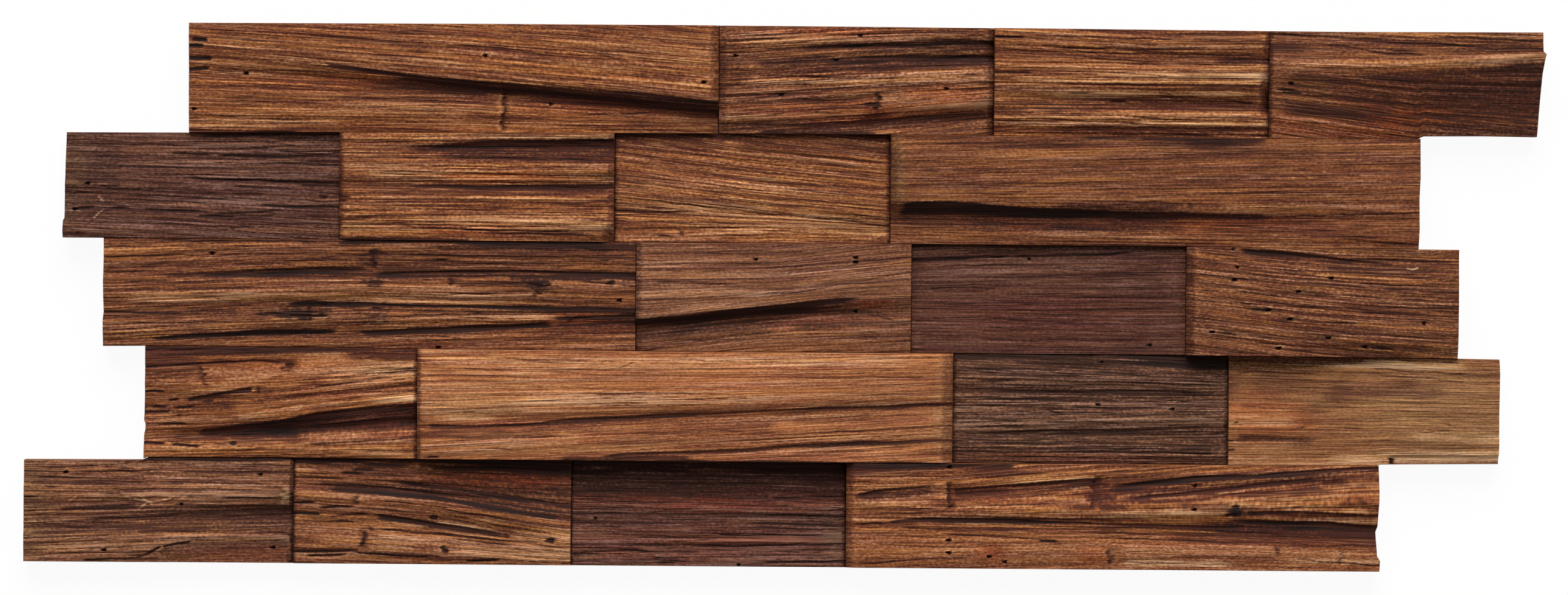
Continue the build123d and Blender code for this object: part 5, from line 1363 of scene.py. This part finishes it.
def wood_finish(name, wood, seed, busy):
    """Bare riven wood: lines along the grain, as strong as the wood is busy, and dark splits. Ridges are
    painted pale and cracks, hollows and cast shadows painted dark: painted light and painted shade.
    """
    stains = WOODS[wood]
    finish = Finish(name)
    grain = finish.node("ShaderNodeUVMap", {"uv_map": "grain"}, {})
    broad = finish.streaks(grain, 110, 4.5, 2, seed)
    medium = finish.streaks(grain, 90, 1.15, 1, seed + 3.1)
    lines = finish.streaks(grain, 75, 0.8, 1, seed + 5.7)
    fine = finish.streaks(grain, 26, 0.45, 1, seed + 7.9)
    pores = finish.streaks(grain, 55, 0.8, 1, seed + 9.3)
    glints = finish.streaks(grain, 60, 0.75, 1, seed + 11.7)
    hue = finish.streaks(grain, 80, 2.2, 2, seed + 13.9)
    amber = finish.streaks(grain, 60, 1.5, 2, seed + 15.3)
    flecks = finish.streaks(grain, 7, 0.75, 1, seed + 17.3)
    specks = finish.streaks(grain, 1.3, 0.8, 1, seed + 19.1, 0.6)
    crest = finish.attribute("crest")
    stain_and_shade = finish.attribute("stain_and_shade")
    pale_and_highlight = finish.attribute("pale_and_highlight")
    tint = finish.attribute("tint")
    tone_and_lighting_shift = finish.attribute("tone")
    calm = finish.attribute("calm")
    lively = (1.0 - calm * 0.75) * busy
    speckle = (flecks - 0.5) * 1.0 + (specks - 0.5) * 2.0
    # The crest term makes ridges lighter and hollows darker: painted light and painted shade. The pale and
    # tone fields bring their painted highlights and painted shade in with the wood's own marks.
    level = ((broad - 0.5) * 0.9 + ((lines - 0.5) * 2.0 + (fine - 0.5) * 1.3 + crest * 0.4) * lively
             + speckle * busy + pale_and_highlight * 0.7 + tone_and_lighting_shift * 1.6)
    light = finish.mix(((amber - 0.42) * 7.0 - calm).held(), stains["light"], stains["amber"])
    colour = finish.mix(((hue - 0.42) * 6.0).held(), stains["middle"], stains["red"])
    colour = finish.mix((level * 1.15).held(), colour, light)
    colour = finish.mix(((level - 0.65) * 0.6).held(), colour, stains["pale_and_highlight"])
    colour = finish.mix((tint * 0.55).held(), colour, RED_HEART, "SOFT_LIGHT")
    colour = finish.mix((tint * -0.6).held(), colour, OLIVE_GREY, "COLOR")
    colour = finish.mix((level * -1.2).held(), colour, stains["dark"])
    glint = (1.0 - (glints - 0.53).size() * 14.0).held() * (broad * 1.8 - 0.25).held() * (0.5 + flecks)
    colour = finish.mix((glint * lively * 0.7).held(), colour, light)
    seam = (1.0 - (medium - 0.47).size() * 15.0).held() * (1.9 - broad * 2.2).held() * (1.5 - flecks)
    pore = (1.0 - (pores - 0.46).size() * 13.0).held() * (hue * 2.6 - 0.6).held() * (1.4 - flecks)
    colour = finish.mix(((seam * 0.8 + pore * 0.75) * lively).held(), colour, stains["dark"])
    frayed = (lines - 0.5) * 0.6 + (fine - 0.5) * 0.5 + speckle * 0.4
    shadow = stain_and_shade - stain_and_shade * (1.0 - stain_and_shade) * frayed * 3.0
    colour = finish.mix((shadow * 1.45).held(), colour, stains["dark"])
    # Where the painted darkening is deepest it turns to the black of painted shadow, broken by lighter fibres
    dark_fibres = ((0.55 - lines) * 5.0 + (0.5 - fine) * 3.0 - speckle * 0.5).held()
    shade_black_share = (shadow - 0.62) * 2.8 * (0.4 + 0.6 * dark_fibres)
    colour = finish.mix(shade_black_share.held(), colour, SHADE_BLACK)
    colour = finish.mix(((pale_and_highlight - 1.0) * 2.0).held(), colour, STRAW)
    bump_height = (lines * 0.4 + fine * 0.4 + flecks * 0.4 + specks * 0.3 + glint * 0.4
                   - pore * 0.6 - seam * 0.6)
    normal = finish.node("ShaderNodeBump", {}, {"Strength": 0.9, "Distance": 0.0004, "Height": bump_height})
    roughness = 0.65 + 0.2 * fine
    shader = finish.node("ShaderNodeBsdfPrincipled", {}, {
        "Base Color": colour, "Roughness": roughness, "Normal": normal, "Specular IOR Level": 0.05})
    finish.node("ShaderNodeOutputMaterial", {}, {"Surface": shader})
    return finish.material


# Pieces

def select_only(piece):
    """Leaves one object selected and active."""
    bpy.ops.object.select_all(action="DESELECT")
    piece.select_set(True)
    bpy.context.view_layer.objects.active = piece


def sawn_blank(name, columns, rows):
    """A block of unit size before it is split: a fine grid as its face, two rings of side, a flat back."""
    bpy.ops.object.select_all(action="DESELECT")
    bpy.ops.mesh.primitive_grid_add(x_subdivisions=columns, y_subdivisions=rows, size=1)
    piece = bpy.context.object
    piece.name = name
    piece.data.name = name
    bpy.ops.object.mode_set(mode="EDIT")
    bpy.ops.mesh.select_all(action="SELECT")
    bpy.ops.mesh.region_to_loop()
    for _ in range(2):
        bpy.ops.mesh.extrude_edges_move(TRANSFORM_OT_translate={"value": (0, 0, -BLANK_RING)})
    bpy.ops.mesh.fill()
    bpy.ops.mesh.select_all(action="SELECT")
    bpy.ops.mesh.normals_make_consistent(inside=False)
    bpy.ops.object.mode_set(mode="OBJECT")
    return piece


def face_of_solid(node, xs, ys):
    """The height of a solid's face over a grid of places, in millimetres."""
    mesh = node.data
    tree = BVHTree.FromPolygons([v.co for v in mesh.vertices], [p.vertices for p in mesh.polygons])
    down = Vector((0, 0, -1))
    heights = [[tree.ray_cast(Vector((x, y, 1.0)), down)[0].z for x in xs] for y in ys]
    return np.array(heights) / MM


def sawn_lines(x, y, left, length, height, row, place):
    """The places of a block's points, carried along with the sawn lines round the block."""
    x = x + np.interp(x, (0, length), END_LINES[row][place:place + 2])
    above, below = (np.interp(left + x, *zip(*ROW_LINES[row + k])) for k in range(2))
    shift = below + (above - below) * y / height
    if row in LOW_FACES:
        lower, share = LOW_FACES[row]
        shift -= np.interp(left + x, *zip(*lower)) * np.interp(y, *zip(*share))
    return x, y + shift


def crest_field(top, run, length):
    """How far each point of a face stands above the wood round it, or below. Less near the block's ends. The
    finish paints ridges lighter and hollows darker by it: painted light and painted shade.
    """
    near, wide = level_out(top, NEAR_PASSES), level_out(top, WIDE_PASSES)
    crest = np.clip((top - near) / 0.3, -1, 1) + 0.6 * np.clip((near - wide) / 0.9, -1, 0.4)
    return crest * (0.2 + 0.8 * ease(np.minimum(run, length - run) / 6))


def riven_block(node_name, row, place, seed):
    """One block of the panel, split as the photograph shows it, over its solid."""
    split, wood, busy, grain = SPLITS[node_name]
    low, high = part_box(node_name)
    left, bottom = low.x / MM, low.y / MM
    length, height = (high.x - low.x) / MM, (high.y - low.y) / MM
    columns, rows = round(length / CELL_ALONG), round(height / CELL_ACROSS)
    along = np.linspace(JOINT_INSET, length - JOINT_INSET, columns + 1)
    across = np.linspace(JOINT_INSET, height - JOINT_INSET, rows + 1)
    form = face_of_solid(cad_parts[node_name], (left + along) * MM, (bottom + across) * MM)
    form = level_out(form, FORM_PASSES)
    run, rise = np.meshgrid(along, across)
    face = SplitFace(run, rise, seed, grain)
    split(face)
    top = form + face.relief

    piece = sawn_blank(f"riven_{node_name}", columns, rows)
    mesh = piece.data
    count = len(mesh.vertices)
    places = np.empty(count * 3)
    mesh.vertices.foreach_get("co", places)
    places = places.reshape(-1, 3)
    column = np.clip(np.rint((places[:, 0] + 0.5) * columns), 0, columns).astype(int)
    line = np.clip(np.rint((places[:, 1] + 0.5) * rows), 0, rows).astype(int)
    on_face = places[:, 2] > -0.5 * BLANK_RING
    on_back = places[:, 2] < -1.5 * BLANK_RING
    outer_x = np.where(column == 0, 0.0, np.where(column == columns, length, along[column]))
    outer_y = np.where(line == 0, 0.0, np.where(line == rows, height, across[line]))
    x = np.where(on_face, along[column], outer_x)
    y = np.where(on_face, across[line], outer_y)
    x, y = sawn_lines(x, y, left, length, height, row, place)
    x += face.end_shift()[line, column]
    z = top[line, column]
    depth = np.where(on_face, 0.0, np.where(on_back, z, SHOULDER_DROP))
    mesh.vertices.foreach_set("co", (np.stack([left + x, bottom + y, z - depth], 1) * MM).ravel())

    end_side = (column == 0) | (column == columns)
    grain_u = run[line, column] + np.where(end_side, depth, 0.0)
    grain_v = face.fibre[line, column] + np.where(end_side, 0.0, depth)
    corners = np.empty(len(mesh.loops), int)
    mesh.loops.foreach_get("vertex_index", corners)
    grain_map = mesh.uv_layers.get("grain") or mesh.uv_layers.new(name="grain")
    grain_places = np.stack([grain_u[corners], grain_v[corners]], 1)
    grain_map.data.foreach_set("uv", grain_places.astype(np.float32).ravel())
    looks = {"stain_and_shade": face.stain_and_shade, "pale_and_highlight": face.pale_and_highlight, "tint": face.tint, "tone": face.tone,
             "calm": 1 - face.rough, "crest": crest_field(top, run, length)}
    for name, field in looks.items():
        values = np.where(on_face, field[line, column], 0.0)
        mesh.attributes.new(name, "FLOAT", "POINT").data.foreach_set("value", values.astype(np.float32))
    mesh.update()
    select_only(piece)
    bpy.ops.object.shade_smooth_by_angle(angle=math.radians(SMOOTH_ANGLE_DEG))
    mesh.materials.clear()
    mesh.materials.append(wood_finish(f"{wood}_{node_name}", wood, seed * PATTERN_SHIFT, busy))
    return piece


for number, node_name in enumerate(SPLITS):
    row, place = divmod(number, BLOCKS_IN_ROW)
    block = riven_block(node_name, row, place, BLOCK_SEED_STEP * (number + 1))
    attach(block, "root")
    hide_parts(node_name)


# Floor, light and camera

def floor_finish():
    """Plain white, which stays white to the camera but for a share of the object's shadow."""
    finish = Finish("white_floor")
    matt = finish.node("ShaderNodeBsdfDiffuse", {}, {"Color": (FLOOR_WHITE, FLOOR_WHITE, FLOOR_WHITE, 1.0)})
    white = finish.node("ShaderNodeEmission", {}, {"Color": (1.0, 1.0, 1.0, 1.0), "Strength": 1.0})
    rays = ("Is Camera Ray", "Is Glossy Ray", "Is Transmission Ray")
    seen = [finish.node("ShaderNodeLightPath", {}, {}, ray) for ray in rays]
    share = (seen[0] + seen[1] + seen[2]).held() * FLOOR_GLOW
    both = finish.node("ShaderNodeMixShader", {}, {0: share, 1: matt, 2: white})
    finish.node("ShaderNodeOutputMaterial", {}, {"Surface": both})
    return finish.material


def studio():
    """A white floor, a broad soft light from above the top row, and a little light from all round."""
    bpy.ops.object.select_all(action="DESELECT")
    bpy.ops.mesh.primitive_plane_add(size=FLOOR_WIDE, location=(0, 0, -FLOOR_DROP))
    floor = bpy.context.object
    floor.name = "floor"
    floor.data.materials.append(floor_finish())
    bpy.ops.object.light_add(type="SUN", location=(0, 0.8, 1.2))
    key = bpy.context.object
    key.name = "key_light"
    key.data.energy = KEY_STRENGTH
    key.data.angle = math.radians(KEY_SPREAD_DEG)
    key.rotation_euler = (math.radians(KEY_LEAN_DEG), 0, 0)
    world = bpy.data.worlds.new("soft_room")
    world.use_nodes = True
    room = world.node_tree.nodes["Background"].inputs
    room["Color"].default_value = (1, 1, 1, 1)
    room["Strength"].default_value = ROOM_STRENGTH
    bpy.context.scene.world = world


def photo_camera():
    """A camera straight above the panel, framed as the photograph."""
    seen_wide = PHOTO_WIDE / PIXELS_PER_MM * MM
    roll = math.radians(PANEL_ROLL_DEG)
    off_x = (PHOTO_WIDE / 2 - PANEL_CENTRE_PIXEL[0]) / PIXELS_PER_MM * MM
    off_y = (PANEL_CENTRE_PIXEL[1] - PHOTO_HIGH / 2) / PIXELS_PER_MM * MM
    bpy.ops.object.camera_add(location=(off_x, off_y, FACE_LEVEL + CAMERA_DISTANCE), rotation=(0, 0, roll))
    camera = bpy.context.object
    camera.name = "photo_camera"
    camera.data.sensor_width = SENSOR_WIDE
    camera.data.lens = SENSOR_WIDE * CAMERA_DISTANCE / seen_wide
    bpy.context.scene.camera = camera


studio()
photo_camera()
bpy.context.scene.view_settings.view_transform = "Standard"
